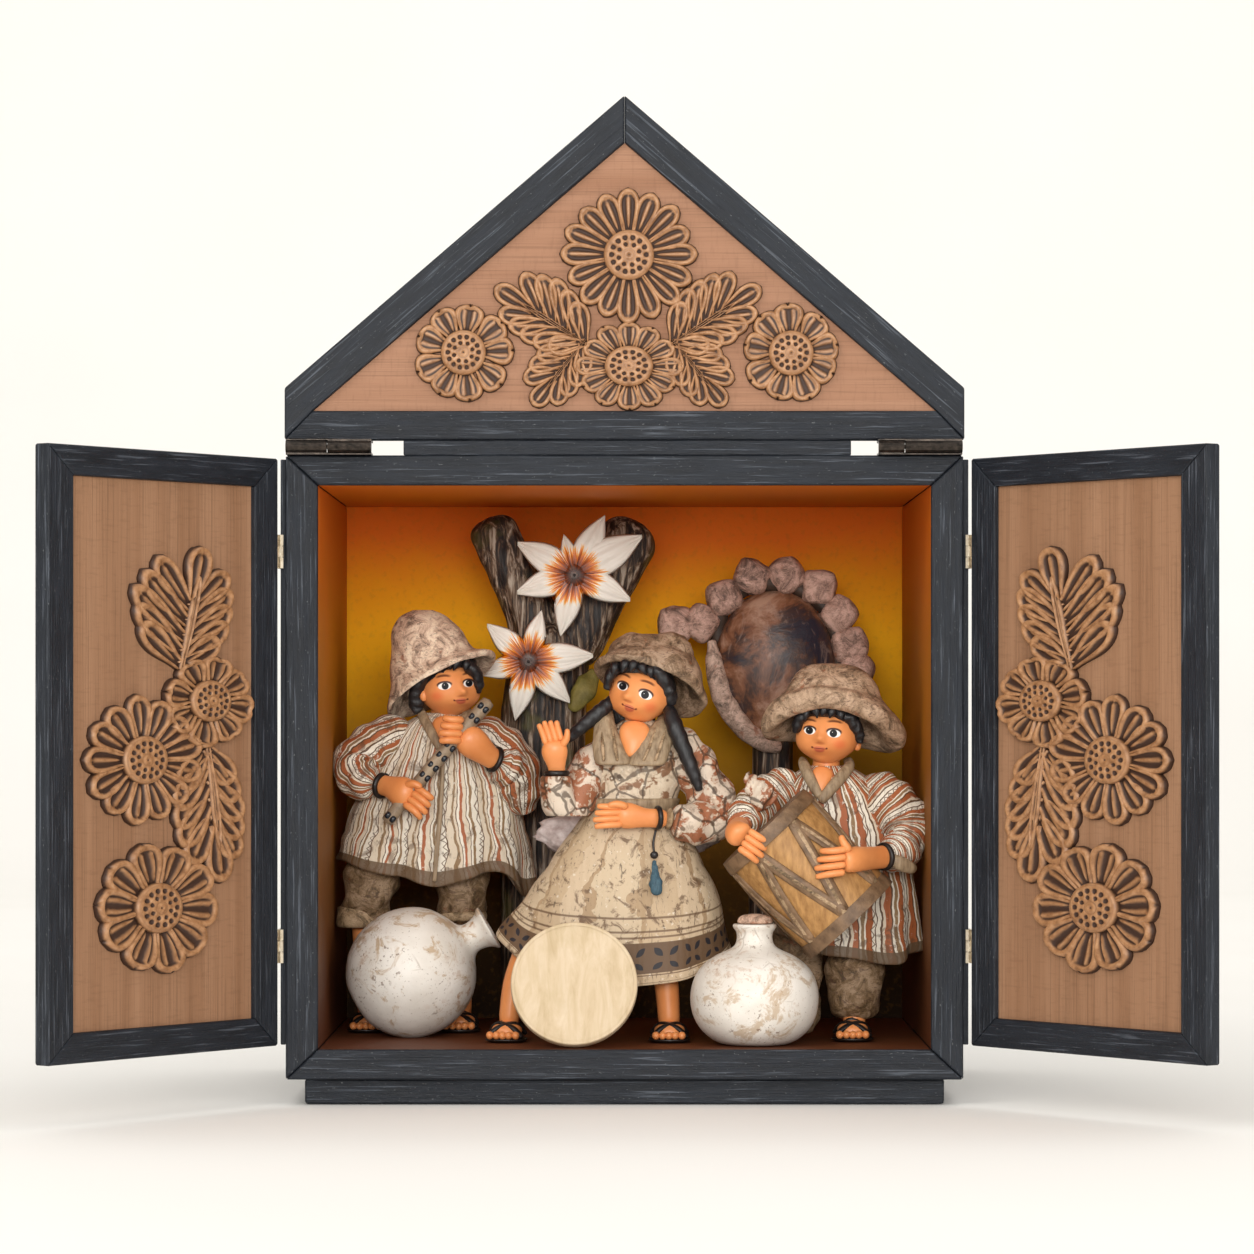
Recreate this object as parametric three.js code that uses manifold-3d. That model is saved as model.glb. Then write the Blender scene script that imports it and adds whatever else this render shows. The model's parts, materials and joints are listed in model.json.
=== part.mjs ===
// Folding shrine box: a dark wooden case on a low plinth, two hinged doors and a
// hinged triangular pediment with carved garlands, and a painted interior that
// holds three clay figures, jars, a drum, a forked tree and a fruit pod.
// Millimetres, +Z up, +X to the viewer's right, the open front faces -Y.
// The origin is the centre of the plinth's underside.

import * as THREE from 'three';
import { LoftGeometry } from 'three/addons/geometries/LoftGeometry.js';
import { mergeVertices } from 'three/addons/utils/BufferGeometryUtils.js';
import Module from 'manifold-3d';

const wasm = await Module();
wasm.setup();

// ---- driving dimensions -------------------------------------------------

const CASE_WIDTH = 305;
const CASE_HEIGHT = 281;
const CASE_DEPTH = 226;
const SIDE_BOARD = 14.6;
const LEVEL_BOARD = 13.6;
const BACK_THICKNESS = 6;
const PLINTH_HEIGHT = 11.4;
const PLINTH_WIDTH = 288.5;
const PLINTH_DEPTH = 214;

const DOOR_WIDTH = 151.5;
const DOOR_THICKNESS = 8;
const DOOR_BOTTOM = 27;
const DOOR_TOP = 290.6;
const DOOR_STILE = 16;
const DOOR_RAIL = 13;
const DOOR_PANEL_RECESS = 2.4;
const DOOR_PANEL_THICKNESS = 3.2;
const DOOR_PIN_X = 154.6;
const DOOR_PIN_AHEAD = 1.2;
const DOOR_EDGE_FROM_PIN = 2.6;
const DOOR_FRONT_GAP = 0.4;
const LEFT_DOOR_OPEN = 125.5;
const RIGHT_DOOR_OPEN = 126.8;

const PEDIMENT_THICKNESS = 11;
const PEDIMENT_BOTTOM = 299.4;
const PEDIMENT_SHOULDER = 322.7;
const PEDIMENT_APEX = 454.4;
const PEDIMENT_HALF = 153;
const PEDIMENT_FRAME = 16;
const PEDIMENT_RAIL = 13;
const PEDIMENT_PIN_Z = 295.9;
const PEDIMENT_PIN_AHEAD = 6;
const PEDIMENT_PANEL_RECESS = 3;
const PEDIMENT_PANEL_THICKNESS = 4;

const FRONT = -CASE_DEPTH / 2;
const BACK = CASE_DEPTH / 2;
const CASE_TOP = PLINTH_HEIGHT + CASE_HEIGHT;
const FLOOR = PLINTH_HEIGHT + LEVEL_BOARD;

// ---- colours ------------------------------------------------------------

const material = (color, roughness, metalness = 0) =>
  new THREE.MeshStandardMaterial({ color, roughness, metalness });
const DARK_WOOD = material(0x2d323c, 0.6);
const PALE_WOOD = material(0x9a7350, 0.75);
const CARVED_WOOD = material(0xb5865a, 0.5);
const PAINTED_BACK = material(0xe0921a, 0.7);
const BRASS = material(0xc9a55c, 0.35, 0.9);
const DARK_STEEL = material(0x33302d, 0.4, 0.8);
const CLAY = material(0xc4a98a, 0.7);
const WHITE_CLAY = material(0xe9e2d6, 0.55);
const BARK = material(0x4a3a2e, 0.8);
const POD_CLAY = material(0x5d4438, 0.6);
const HIDE = material(0xdcc79c, 0.65);

// ---- small geometry helpers ---------------------------------------------

// Bare positions, joined where vertices meet, as a manifold solid.
function solid(geometry) {
  const bare = new THREE.BufferGeometry();
  bare.setAttribute('position', geometry.getAttribute('position').clone());
  if (geometry.index) bare.setIndex(geometry.index.clone());
  const joined = mergeVertices(bare, 1e-4);
  return new wasm.Manifold(new wasm.Mesh({
    numProp: 3,
    vertProperties: new Float32Array(joined.getAttribute('position').array),
    triVerts: new Uint32Array(joined.index.array),
  }));
}

function geometryOf(manifold) {
  const mesh = manifold.getMesh();
  const geometry = new THREE.BufferGeometry();
  const positions = new Float32Array(mesh.vertProperties);
  geometry.setAttribute('position', new THREE.BufferAttribute(positions, 3));
  geometry.setIndex(new THREE.BufferAttribute(new Uint32Array(mesh.triVerts), 1));
  const flat = geometry.toNonIndexed();
  flat.computeVertexNormals();
  return flat;
}

const union = (geometries) => wasm.Manifold.union(geometries.map(solid));

function node(name, geometry, mat) {
  const mesh = new THREE.Mesh(geometry, mat);
  mesh.name = name;
  return mesh;
}

function block(x0, x1, y0, y1, z0, z1) {
  const box = new THREE.BoxGeometry(x1 - x0, y1 - y0, z1 - z0);
  return box.translate((x0 + x1) / 2, (y0 + y1) / 2, (z0 + z1) / 2);
}

// A flat outline in the XZ plane given a thickness along Y.
function slab(points, y0, y1) {
  const shape = new THREE.Shape(points.map(([x, z]) => new THREE.Vector2(x, z)));
  const geometry = new THREE.ExtrudeGeometry(shape, { depth: y1 - y0, bevelEnabled: false });
  return geometry.rotateX(Math.PI / 2).translate(0, y1, 0);
}

function ball(x, y, z, rx, ry, rz, around = 7, down = 4) {
  const sphere = new THREE.SphereGeometry(1, around, down);
  return sphere.rotateX(Math.PI / 2).scale(rx, ry, rz).translate(x, y, z);
}

// A round bar from one point to another, with a radius at each end.
function bar(from, to, startRadius, endRadius, around = 6) {
  const start = new THREE.Vector3(...from);
  const end = new THREE.Vector3(...to);
  const direction = end.clone().sub(start);
  const cylinder = new THREE.CylinderGeometry(endRadius, startRadius, direction.length(), around);
  const turn = new THREE.Quaternion();
  turn.setFromUnitVectors(new THREE.Vector3(0, 1, 0), direction.clone().normalize());
  cylinder.applyQuaternion(turn);
  const middle = start.add(end).multiplyScalar(0.5);
  return cylinder.translate(middle.x, middle.y, middle.z);
}

// One oval ring of a loft; lean raises the +X side, pitch raises the front.
function ring({ x = 0, y = 0, z, rx, ry, lean = 0, pitch = 0, lift = null, around = 10 }) {
  const points = [];
  const a = THREE.MathUtils.degToRad(lean);
  const b = THREE.MathUtils.degToRad(pitch);
  for (let i = 0; i < around; i += 1) {
    const angle = (i / around) * Math.PI * 2;
    const px = Math.cos(angle) * rx;
    const py = Math.sin(angle) * ry;
    const raise = lift ? lift(x + px, py) : 0;
    points.push(new THREE.Vector3(
      x + px * Math.cos(a),
      y + py * Math.cos(b),
      z + px * Math.sin(a) - py * Math.sin(b) + raise,
    ));
  }
  return points;
}

function loft(rings) {
  return new LoftGeometry(rings.map(ring), { capStart: true, capEnd: true });
}

// Straight-line reading of a list of [at, value] pairs.
function along(pairs, at) {
  if (at <= pairs[0][0]) return pairs[0][1];
  for (let i = 1; i < pairs.length; i += 1) {
    const [x1, v1] = pairs[i];
    const [x0, v0] = pairs[i - 1];
    if (at <= x1) return v0 + ((v1 - v0) * (at - x0)) / (x1 - x0);
  }
  return pairs[pairs.length - 1][1];
}

// ---- carved garlands ----------------------------------------------------

// A flower relief lying in the XZ plane and standing out towards -Y: a raised boss in
// the middle with rounded petals around it.
function flowerRelief({ x, z, radius, petals, disc, height, stretch = 1, turn = 0, notch = 0 }) {
  const steps = 3;
  const count = petals * steps;
  const rows = [
    { at: () => disc, up: () => height * 0.82 },
    { at: (edge) => edge * 0.93, up: (w) => height * (0.3 + 0.5 * w) },
    { at: (edge) => edge, up: () => 0 },
  ];
  const points = [new THREE.Vector3(x, -height, z)];
  for (const row of rows) {
    for (let i = 0; i < count; i += 1) {
      const across = (i % steps) / steps;
      const w = Math.sqrt(Math.sin(Math.PI * across));
      const dent = across > 0.3 && across < 0.7 ? notch : 0;
      const edge = radius * (0.85 + 0.15 * w - dent);
      const angle = (i / count) * Math.PI * 2 + turn;
      const reach = row.at(edge);
      points.push(new THREE.Vector3(
        x + Math.cos(angle) * reach * stretch,
        -row.up(w),
        z + Math.sin(angle) * reach,
      ));
    }
  }
  points.push(new THREE.Vector3(x, 0, z));
  const last = points.length - 1;
  const index = [];
  for (let i = 0; i < count; i += 1) {
    const j = (i + 1) % count;
    index.push(0, 1 + i, 1 + j);
    for (let r = 0; r < rows.length - 1; r += 1) {
      const a = 1 + r * count;
      const b = a + count;
      index.push(a + i, b + i, b + j, a + i, b + j, a + j);
    }
    const foot = 1 + (rows.length - 1) * count;
    index.push(last, foot + j, foot + i);
  }
  const geometry = new THREE.BufferGeometry().setFromPoints(points);
  return geometry.setIndex(index);
}

// A lobed leaf relief from its root to its tip, with a raised midrib.
function leafRelief({ root, tip, left, right, lobes, height, sweep = 0.5 }) {
  const [x0, z0] = root;
  const [x1, z1] = tip;
  const length = Math.hypot(x1 - x0, z1 - z0);
  const dx = (x1 - x0) / length;
  const dz = (z1 - z0) / length;
  const sections = [];
  const count = lobes * 2;
  for (let i = 0; i <= count; i += 1) {
    const s = i / count;
    const bulge = Math.sqrt(Math.sin(Math.PI * Math.min(0.97, 0.1 + 0.82 * s)));
    const swell = i === 0 || i === count ? 0.12 : bulge;
    const lobe = i % 2 === 1 ? 1 : 0.8;
    const row = [];
    const place = (side, share, up) => {
      const reach = side * share * swell * lobe;
      const ahead = s * length * 0.86 + Math.abs(reach) * sweep * (s < 0.15 ? 0.3 : 1);
      const x = x0 + dx * ahead - dz * reach;
      const z = z0 + dz * ahead + dx * reach;
      row.push(new THREE.Vector3(x, -up, z));
    };
    const crest = i % 2 === 1 ? 0.85 : 0.5;
    place(left, 1, 0);
    place(left, 0.85, height * crest);
    place(0, 0, height);
    place(-right, 0.85, height * crest);
    place(-right, 1, 0);
    sections.push(row);
  }
  return skin(sections);
}

// Rows of points joined into a tube whose ends are closed by fans about their middles.
function skin(rows) {
  const across = rows[0].length;
  const points = rows.flat();
  const middle = (row) => row.reduce((sum, p) => sum.add(p), new THREE.Vector3()).divideScalar(across);
  points.push(middle(rows[0]), middle(rows[rows.length - 1]));
  const index = [];
  const end = (rows.length - 1) * across;
  for (let j = 0; j < across; j += 1) {
    const k = (j + 1) % across;
    for (let i = 0; i < rows.length - 1; i += 1) {
      const a = i * across;
      const b = a + across;
      index.push(a + j, a + k, b + k, a + j, b + k, b + j);
    }
    index.push(points.length - 2, k, j, points.length - 1, end + j, end + k);
  }
  return new THREE.BufferGeometry().setFromPoints(points).setIndex(index);
}

function outward(geometry) {
  const body = solid(geometry);
  if (body.volume() >= 0 && body.status() === 'NoError') return body;
  const index = Array.from(geometry.index.array);
  for (let i = 0; i < index.length; i += 3) [index[i], index[i + 1]] = [index[i + 1], index[i]];
  return solid(geometry.clone().setIndex(index));
}

const STRETCH = 1.46;

const carved = (pieces) => wasm.Manifold.union(pieces.map(outward)).simplify(0.15);

function doorGarland() {
  const eight = { radius: 21, petals: 8, disc: 9, height: 5.4, turn: 0.2, notch: 0.05 };
  const thirteen = { radius: 29, petals: 13, disc: 10.6, height: 4.8 };
  const ten = { radius: 30, petals: 10, disc: 11, height: 5, turn: 0.1 };
  const upper = { left: 31, right: 40, lobes: 6, height: 4.4, sweep: 0.35 };
  const lower = { left: 30, right: 19, lobes: 6, height: 4, sweep: 0.6 };
  return carved([
    leafRelief({ root: [66, 197], tip: [54, 252], ...upper }),
    flowerRelief({ x: 47.7, z: 181.7, stretch: STRETCH, ...eight }),
    flowerRelief({ x: 90.5, z: 156, stretch: STRETCH * 0.93, ...thirteen }),
    leafRelief({ root: [49, 160], tip: [40, 99], ...lower }),
    flowerRelief({ x: 81.7, z: 91.6, stretch: STRETCH * 0.95, ...ten }),
  ]);
}

function pedimentGarland() {
  const sixteen = { radius: 31.5, petals: 16, disc: 11.2, height: 5.4 };
  const twelve = { radius: 21, petals: 12, disc: 9, height: 5, stretch: 1.2, notch: 0.04 };
  const nine = { radius: 23.4, petals: 9, disc: 10.2, height: 5, notch: 0.04 };
  const long = { lobes: 6, height: 4.2, sweep: 0.4 };
  const short = { lobes: 5, height: 4 };
  return carved([
    flowerRelief({ x: 2, z: 382.5, ...sixteen }),
    flowerRelief({ x: 2, z: 332.5, ...twelve }),
    flowerRelief({ x: -72, z: 338.6, ...nine }),
    flowerRelief({ x: 74.6, z: 338.4, turn: 0.2, ...nine }),
    leafRelief({ root: [-17, 342], tip: [-59, 372], left: 19, right: 18, ...long }),
    leafRelief({ root: [21, 342], tip: [62, 372], left: 18, right: 19, ...long }),
    leafRelief({ root: [-18, 343], tip: [-40, 314], left: 11, right: 18, ...short }),
    leafRelief({ root: [22, 343], tip: [44, 314], left: 18, right: 11, ...short }),
  ]);
}

// ---- case ---------------------------------------------------------------

function caseBoards() {
  const half = CASE_WIDTH / 2;
  const low = PLINTH_HEIGHT;
  const high = CASE_TOP;
  const back = BACK;
  const g = 0.02;
  const inner = half - SIDE_BOARD;
  const floor = low + LEVEL_BOARD;
  const ceiling = high - LEVEL_BOARD;
  const outlines = {
    board_bottom: [[-half + g, low], [half - g, low], [inner - g, floor], [-inner + g, floor]],
    board_top: [[-inner + g, ceiling], [inner - g, ceiling], [half - g, high], [-half + g, high]],
    board_left: [[-half, low + g], [-inner, floor + g], [-inner, ceiling - g], [-half, high - g]],
    board_right: [[half, low + g], [half, high - g], [inner, ceiling - g], [inner, floor + g]],
  };
  const boards = Object.entries(outlines).map(([name, outline]) =>
    node(name, slab(outline, FRONT, back - BACK_THICKNESS), DARK_WOOD));
  const panel = block(-half, half, back - BACK_THICKNESS + 0.02, back, low, high);
  boards.push(node('back_panel', panel, PAINTED_BACK));
  return boards;
}

function plinth() {
  const half = PLINTH_WIDTH / 2;
  const depth = PLINTH_DEPTH / 2;
  return node('plinth', block(-half, half, -depth, depth, 0, PLINTH_HEIGHT - 0.02), DARK_WOOD);
}

function restStrip() {
  const top = PEDIMENT_BOTTOM - 0.15;
  const strip = block(-99.5, 102, FRONT + 1, FRONT + PEDIMENT_THICKNESS, CASE_TOP + 0.02, top);
  return node('rest_strip', strip, DARK_WOOD);
}

function hingeStrip(side) {
  const inner = CASE_WIDTH / 2 + 0.02;
  const outer = inner + 2.4;
  const [x0, x1] = side < 0 ? [-outer, -inner] : [inner, outer];
  const name = side < 0 ? 'hinge_strip_left' : 'hinge_strip_right';
  return node(name, block(x0, x1, FRONT + 2.4, FRONT + 16, DOOR_BOTTOM, DOOR_TOP), DARK_WOOD);
}

// ---- hinges -------------------------------------------------------------

const BRASS_HALF = 7.5;
const BRASS_RADIUS = 1.4;
const BRASS_LEAF = 0.8;

// A ring-shaped knuckle standing on the Z axis.
function knuckle(z0, z1, outer, bore, around) {
  const profile = [[bore, z0], [outer, z0], [outer, z1], [bore, z1], [bore, z0]];
  const points = profile.map(([r, z]) => new THREE.Vector2(r, z));
  return new THREE.LatheGeometry(points, around).rotateX(Math.PI / 2);
}

// Case half of a brass door hinge about the pin at x = 0, y = 0: two outer knuckles,
// the pin through them and a leaf running back over the hinge strip.
function brassCaseHalf(side) {
  const third = BRASS_HALF / 3;
  const pin = bar([0, 0, -third - 1], [0, 0, third + 1], 0.65, 0.65, 6);
  const lower = bar([0, 0, -BRASS_HALF], [0, 0, -third - 0.15], BRASS_RADIUS, BRASS_RADIUS, 6);
  const upper = bar([0, 0, third + 0.15], [0, 0, BRASS_HALF], BRASS_RADIUS, BRASS_RADIUS, 6);
  const x = side < 0 ? [-BRASS_LEAF - 0.9, -0.85] : [0.85, BRASS_LEAF + 0.9];
  const leaf = block(x[0], x[1], 0.4, 12, -BRASS_HALF, BRASS_HALF);
  const clearance = block(-BRASS_LEAF - 1, BRASS_LEAF + 1, 0, 2, -third - 0.15, third + 0.15);
  const body = solid(leaf).subtract(solid(clearance));
  return wasm.Manifold.union([body, solid(lower), solid(upper), solid(pin)]);
}

// Door half: the middle knuckle and a leaf lying on the door's hinge edge. Built for
// the closed door, whose edge stands DOOR_EDGE_FROM_PIN from the pin towards +X.
function brassDoorHalf(side) {
  const third = BRASS_HALF / 3;
  const middle = knuckle(-third + 0.15, third - 0.15, BRASS_RADIUS, 0.9, 8);
  const near = -side * 1.1;
  const far = -side * (DOOR_EDGE_FROM_PIN - 0.02);
  const [x0, x1] = [Math.min(near, far), Math.max(near, far)];
  const web = block(x0, x1, -1, 0.2, -third + 0.15, third - 0.15);
  const leafNear = -side * (DOOR_EDGE_FROM_PIN - 0.72);
  const leaf = block(Math.min(leafNear, far), Math.max(leafNear, far), -6.6, 0.2, -BRASS_HALF, BRASS_HALF);
  return union([middle, web, leaf]);
}

const HINGE_LEVELS = [71.5, 249];

const STEEL_RADIUS = 2.7;

// Dark hinge under the pediment, lying along X about its pin at y = 0, z = 0. The case
// half carries the pin, a knuckle and the lower leaf; the pediment half the other
// knuckle and the upper leaf.
function steelHinge(from, split, to) {
  const turned = (geometry) => geometry.rotateY(Math.PI / 2);
  const leafBack = 15;
  const pin = turned(bar([0, 0, from], [0, 0, to], 1, 1, 8));
  const first = turned(knuckle(from, split - 0.2, STEEL_RADIUS, 0.8, 10));
  const seat = CASE_TOP - PEDIMENT_PIN_Z;
  const clear = STEEL_RADIUS + 0.3;
  const lowerLeaf = block(from, to, 0, leafBack, seat + 0.02, seat + 1);
  const room = turned(bar([0, 0, split - 0.2], [0, 0, to + 1], clear, clear, 8));
  const caseHalf = solid(lowerLeaf).subtract(solid(room)).add(solid(first)).add(solid(pin));
  const second = turned(knuckle(split + 0.2, to, STEEL_RADIUS, 1.3, 10));
  const top = PEDIMENT_BOTTOM - PEDIMENT_PIN_Z - 0.02;
  const upperLeaf = block(from, to, 0, leafBack, top - 1.1, top);
  const roomAbove = turned(bar([0, 0, from - 1], [0, 0, split + 0.2], clear, clear, 8));
  const bore = turned(bar([0, 0, from - 1], [0, 0, to + 1], 1.3, 1.3, 12));
  const neck = block(split + 0.2, to, 0, 2.7, 0, top);
  const pedimentHalf = solid(upperLeaf).subtract(solid(roomAbove))
    .add(solid(neck)).subtract(solid(bore)).add(solid(second));
  return { caseHalf, pedimentHalf };
}

const STEEL_HINGES = {
  left: [-152, -133.4, -113.6],
  right: [114, 125.8, 151.6],
};

// ---- doors --------------------------------------------------------------

// A door is drawn closed, hinge edge at u = 0, inner face at y = 0 facing +Y, and the
// drawing is turned about the pin by its opening angle.
function doorParts(side) {
  const name = side < 0 ? 'left' : 'right';
  const sign = -side;
  const group = new THREE.Group();
  const edge = DOOR_EDGE_FROM_PIN;
  const innerY = DOOR_PIN_AHEAD - DOOR_FRONT_GAP;
  const outerY = innerY - DOOR_THICKNESS;
  const at = (points) => {
    const placed = points.map(([u, z]) => [sign * (edge + u), z]);
    return sign < 0 ? placed.reverse() : placed;
  };
  const w = DOOR_WIDTH;
  const low = DOOR_BOTTOM;
  const high = DOOR_TOP;
  const g = 0.02;
  const s = DOOR_STILE;
  const r = DOOR_RAIL;
  const outlines = {
    hinge_stile: [[0, low + g], [s, low + r + g], [s, high - r - g], [0, high - g]],
    free_stile: [[w, low + g], [w, high - g], [w - s, high - r - g], [w - s, low + r + g]],
    rail_bottom: [[g, low], [w - g, low], [w - s - g, low + r], [s + g, low + r]],
    rail_top: [[s + g, high - r], [w - s - g, high - r], [w - g, high], [g, high]],
  };
  for (const [part, outline] of Object.entries(outlines)) {
    group.add(node(`door_${name}_${part}`, slab(at(outline), outerY, innerY), DARK_WOOD));
  }
  const panelFace = innerY - DOOR_PANEL_RECESS;
  const panel = at([[s + 0.03, low + r + 0.03], [w - s - 0.03, low + r + 0.03],
    [w - s - 0.03, high - r - 0.03], [s + 0.03, high - r - 0.03]]);
  group.add(node(`door_${name}_panel`, slab(panel, panelFace - DOOR_PANEL_THICKNESS, panelFace), PALE_WOOD));
  // The garland is drawn facing -Y with u to the right; it is turned to face +Y.
  let garland = doorGarland();
  if (side < 0) garland = garland.mirror([0, 1, 0]);
  else garland = garland.mirror([0, 1, 0]).mirror([1, 0, 0]);
  garland = garland.translate([sign * edge, panelFace + 0.02, 0]);
  group.add(node(`door_${name}_garland`, geometryOf(garland), CARVED_WOOD));
  HINGE_LEVELS.forEach((level, i) => {
    const half = brassDoorHalf(side).translate([0, 0, level]);
    group.add(node(`door_${name}_hinge_${i + 1}`, geometryOf(half), BRASS));
  });
  group.position.set(side * DOOR_PIN_X, FRONT - DOOR_PIN_AHEAD, 0);
  const open = THREE.MathUtils.degToRad(side < 0 ? LEFT_DOOR_OPEN : RIGHT_DOOR_OPEN);
  group.rotation.z = side * open;
  return group;
}

// ---- pediment -----------------------------------------------------------

function pediment() {
  const parts = [];
  const y0 = FRONT;
  const y1 = FRONT + PEDIMENT_THICKNESS;
  const g = 0.02;
  const h = PEDIMENT_HALF;
  const slope = (PEDIMENT_APEX - PEDIMENT_SHOULDER) / h;
  const drop = PEDIMENT_FRAME * Math.hypot(1, slope);
  const innerApex = PEDIMENT_APEX - drop;
  const base = PEDIMENT_BOTTOM + PEDIMENT_RAIL;
  const innerHalf = (innerApex - base) / slope;
  const rafter = [[-h, PEDIMENT_BOTTOM + g], [-innerHalf, base + g], [-g, innerApex],
    [-g, PEDIMENT_APEX], [-h, PEDIMENT_SHOULDER]];
  parts.push(node('pediment_rafter_left', slab(rafter, y0, y1), DARK_WOOD));
  const mirrored = rafter.map(([x, z]) => [-x, z]).reverse();
  parts.push(node('pediment_rafter_right', slab(mirrored, y0, y1), DARK_WOOD));
  const foot = PEDIMENT_BOTTOM;
  const rail = [[-h + g, foot], [h - g, foot], [innerHalf - g, base], [-innerHalf + g, base]];
  parts.push(node('pediment_rail', slab(rail, y0, y1), DARK_WOOD));
  const face = y0 + PEDIMENT_PANEL_RECESS;
  const inset = 0.06;
  const panel = [[-innerHalf + inset * 3, base + inset], [innerHalf - inset * 3, base + inset],
    [0, innerApex - inset * 2]];
  parts.push(node('pediment_panel', slab(panel, face, face + PEDIMENT_PANEL_THICKNESS), PALE_WOOD));
  const garland = pedimentGarland().translate([0, face - 0.02, 0]);
  parts.push(node('pediment_garland', geometryOf(garland), CARVED_WOOD));
  return parts;
}

// ---- figures ------------------------------------------------------------

// Overlapping forms joined into one body, with the slivers along the seams removed.
const modelled = (pieces) =>
  wasm.Manifold.union(pieces.map(outward)).trimByPlane([0, 0, 1], 0).simplify(0.8);

function fluteBoy() {
  const hem = [[-49, 82], [-20, 75], [0, 70], [29, 77], [44, 65], [47, 66]];
  const poncho = loft([
    { x: -1, z: 0, rx: 47.5, ry: 23, lift: (x, y) => along(hem, x) + (y > 0 ? 4 : 0) },
    { x: -1, z: 98, rx: 47.5, ry: 23 },
    { x: -1, z: 122, rx: 43, ry: 20 },
    { x: 1, z: 138, rx: 33, ry: 17 },
    { x: 2, z: 147, rx: 21, ry: 13 },
    { x: 3, z: 151, rx: 9, ry: 8 },
  ]);
  const hat = loft([
    { x: 1, y: 1, z: 164, rx: 28, ry: 22, lean: 27, pitch: 16 },
    { x: -1, y: 1, z: 169, rx: 27, ry: 21, lean: 24, pitch: 14 },
    { x: -4, y: 1, z: 178, rx: 19, ry: 18, lean: 14, pitch: 8 },
    { x: -6, y: 1, z: 190, rx: 16, ry: 15, lean: 6 },
    { x: -7, y: 1, z: 197, rx: 11, ry: 10 },
    { x: -7, y: 1, z: 200.5, rx: 4, ry: 4 },
  ]);
  return modelled([
    poncho,
    hat,
    ball(6, -5, 163, 14, 13.5, 14),
    bar([2, 0, 146], [4, -1, 156], 7, 6),
    bar([-20, 0, 143], [-38, -7, 129], 11, 12),
    bar([-38, -7, 129], [-27, -19, 119], 12, 7.5),
    ball(-38, -7, 128, 11, 10, 11),
    bar([-28, -18, 119], [-16, -27, 113], 4, 4),
    ball(-11.2, -28.6, 112.4, 6.5, 5, 6.5),
    bar([22, 0, 141], [38, -6, 124], 12, 12),
    ball(38, -6, 122, 9.5, 10, 13),
    bar([38, -8, 124], [26, -20, 131], 10, 7),
    bar([28, -19, 130], [15, -27, 140], 4, 4),
    ball(10.8, -28, 142.6, 7.8, 6, 7.4),
    bar([-19, -29, 104.5], [25, -24, 157], 3.3, 3.1, 10),
    bar([-24, 0, 90], [-34, 0, 56], 12, 11, 10),
    bar([-37, 0, 57], [-37, 0, 49], 10.5, 10.5, 10),
    bar([10, 0, 90], [12, 0, 52], 13, 11.5, 10),
    bar([-35, 1, 55], [-33, 1, 4], 6, 5.5),
    bar([11, 1, 55], [11, 1, 4], 6, 5.5),
    ball(-33, -4, 4.2, 10, 13, 4.6),
    ball(10.5, -4, 4.2, 10, 13, 4.6),
  ]);
}

function raisedHandWoman() {
  const hemLift = (x, y) => along([[-57, 49], [-43, 43], [7, 42], [50, 42]], x) + Math.min(0, y) * 0.62;
  const skirt = loft([
    { x: -5, z: 0, rx: 52, ry: 25, lift: hemLift, around: 11 },
    { x: -5, z: 8, rx: 51, ry: 24.5, lift: hemLift, around: 11 },
    { x: 0, z: 72, rx: 42, ry: 22, around: 11 },
    { x: 2, z: 96, rx: 29, ry: 18, around: 11 },
    { x: 3, z: 108, rx: 19.5, ry: 14, around: 11 },
    { x: 6, z: 122, rx: 22, ry: 15, around: 11 },
    { x: 9, z: 135, rx: 24, ry: 14, around: 11 },
    { x: 8, z: 143, rx: 16, ry: 11, around: 11 },
    { x: 7, z: 148, rx: 7, ry: 6, around: 11 },
  ]);
  const hat = loft([
    { x: 12, y: 2, z: 163, rx: 25.5, ry: 20, lean: -12, pitch: 24 },
    { x: 12, y: 2, z: 169, rx: 24, ry: 19, lean: -8, pitch: 20 },
    { x: 12, y: 3, z: 178, rx: 19.5, ry: 16, pitch: 8 },
    { x: 12, y: 3, z: 185, rx: 15, ry: 11 },
    { x: 12, y: 3, z: 187, rx: 8, ry: 6 },
  ]);
  return modelled([
    skirt,
    hat,
    ball(7.5, -4, 160, 14.3, 13.5, 13.6),
    ball(2.5, 2, 181, 8.5, 8, 8.5),
    ball(22, 3, 181, 8.5, 8, 8.5),
    bar([6, 0, 140], [7, -1, 152], 6.5, 6),
    bar([-12, 0, 134], [-25, -9, 102], 9, 9),
    bar([-24, -8, 103], [-31, -15, 124], 9, 7),
    bar([-30.5, -14, 122], [-32, -16, 135], 3.6, 3.8),
    ball(-32.5, -17, 138, 5, 3.6, 6),
    bar([-34, -17, 140], [-37, -18, 148], 3, 1.6, 6),
    bar([30, 0, 133], [41, -4, 100], 10, 10),
    bar([43, -4, 104], [17, -19, 103], 9.5, 7.5),
    bar([18, -19, 103], [3, -22, 104], 4, 4),
    ball(-4, -22.5, 104, 9, 4.5, 5.5),
    bar([-5, -8, 158], [-26, -5, 139], 3.2, 2.2, 6),
    bar([20, -8, 152], [34, -13, 116], 3.4, 2.4, 6),
    bar([16, -6, 45], [20.5, -6, 4], 6, 5.5),
    ball(20.7, -10, 4.2, 9.6, 13, 4.6),
    bar([-48, -4, 50], [-53, -6, 4], 6, 5.5),
    ball(-53.8, -10, 4.2, 8, 12, 4.6),
    ball(2, 19, 95, 43, 11, 13, 10, 5),
  ]);
}

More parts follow.
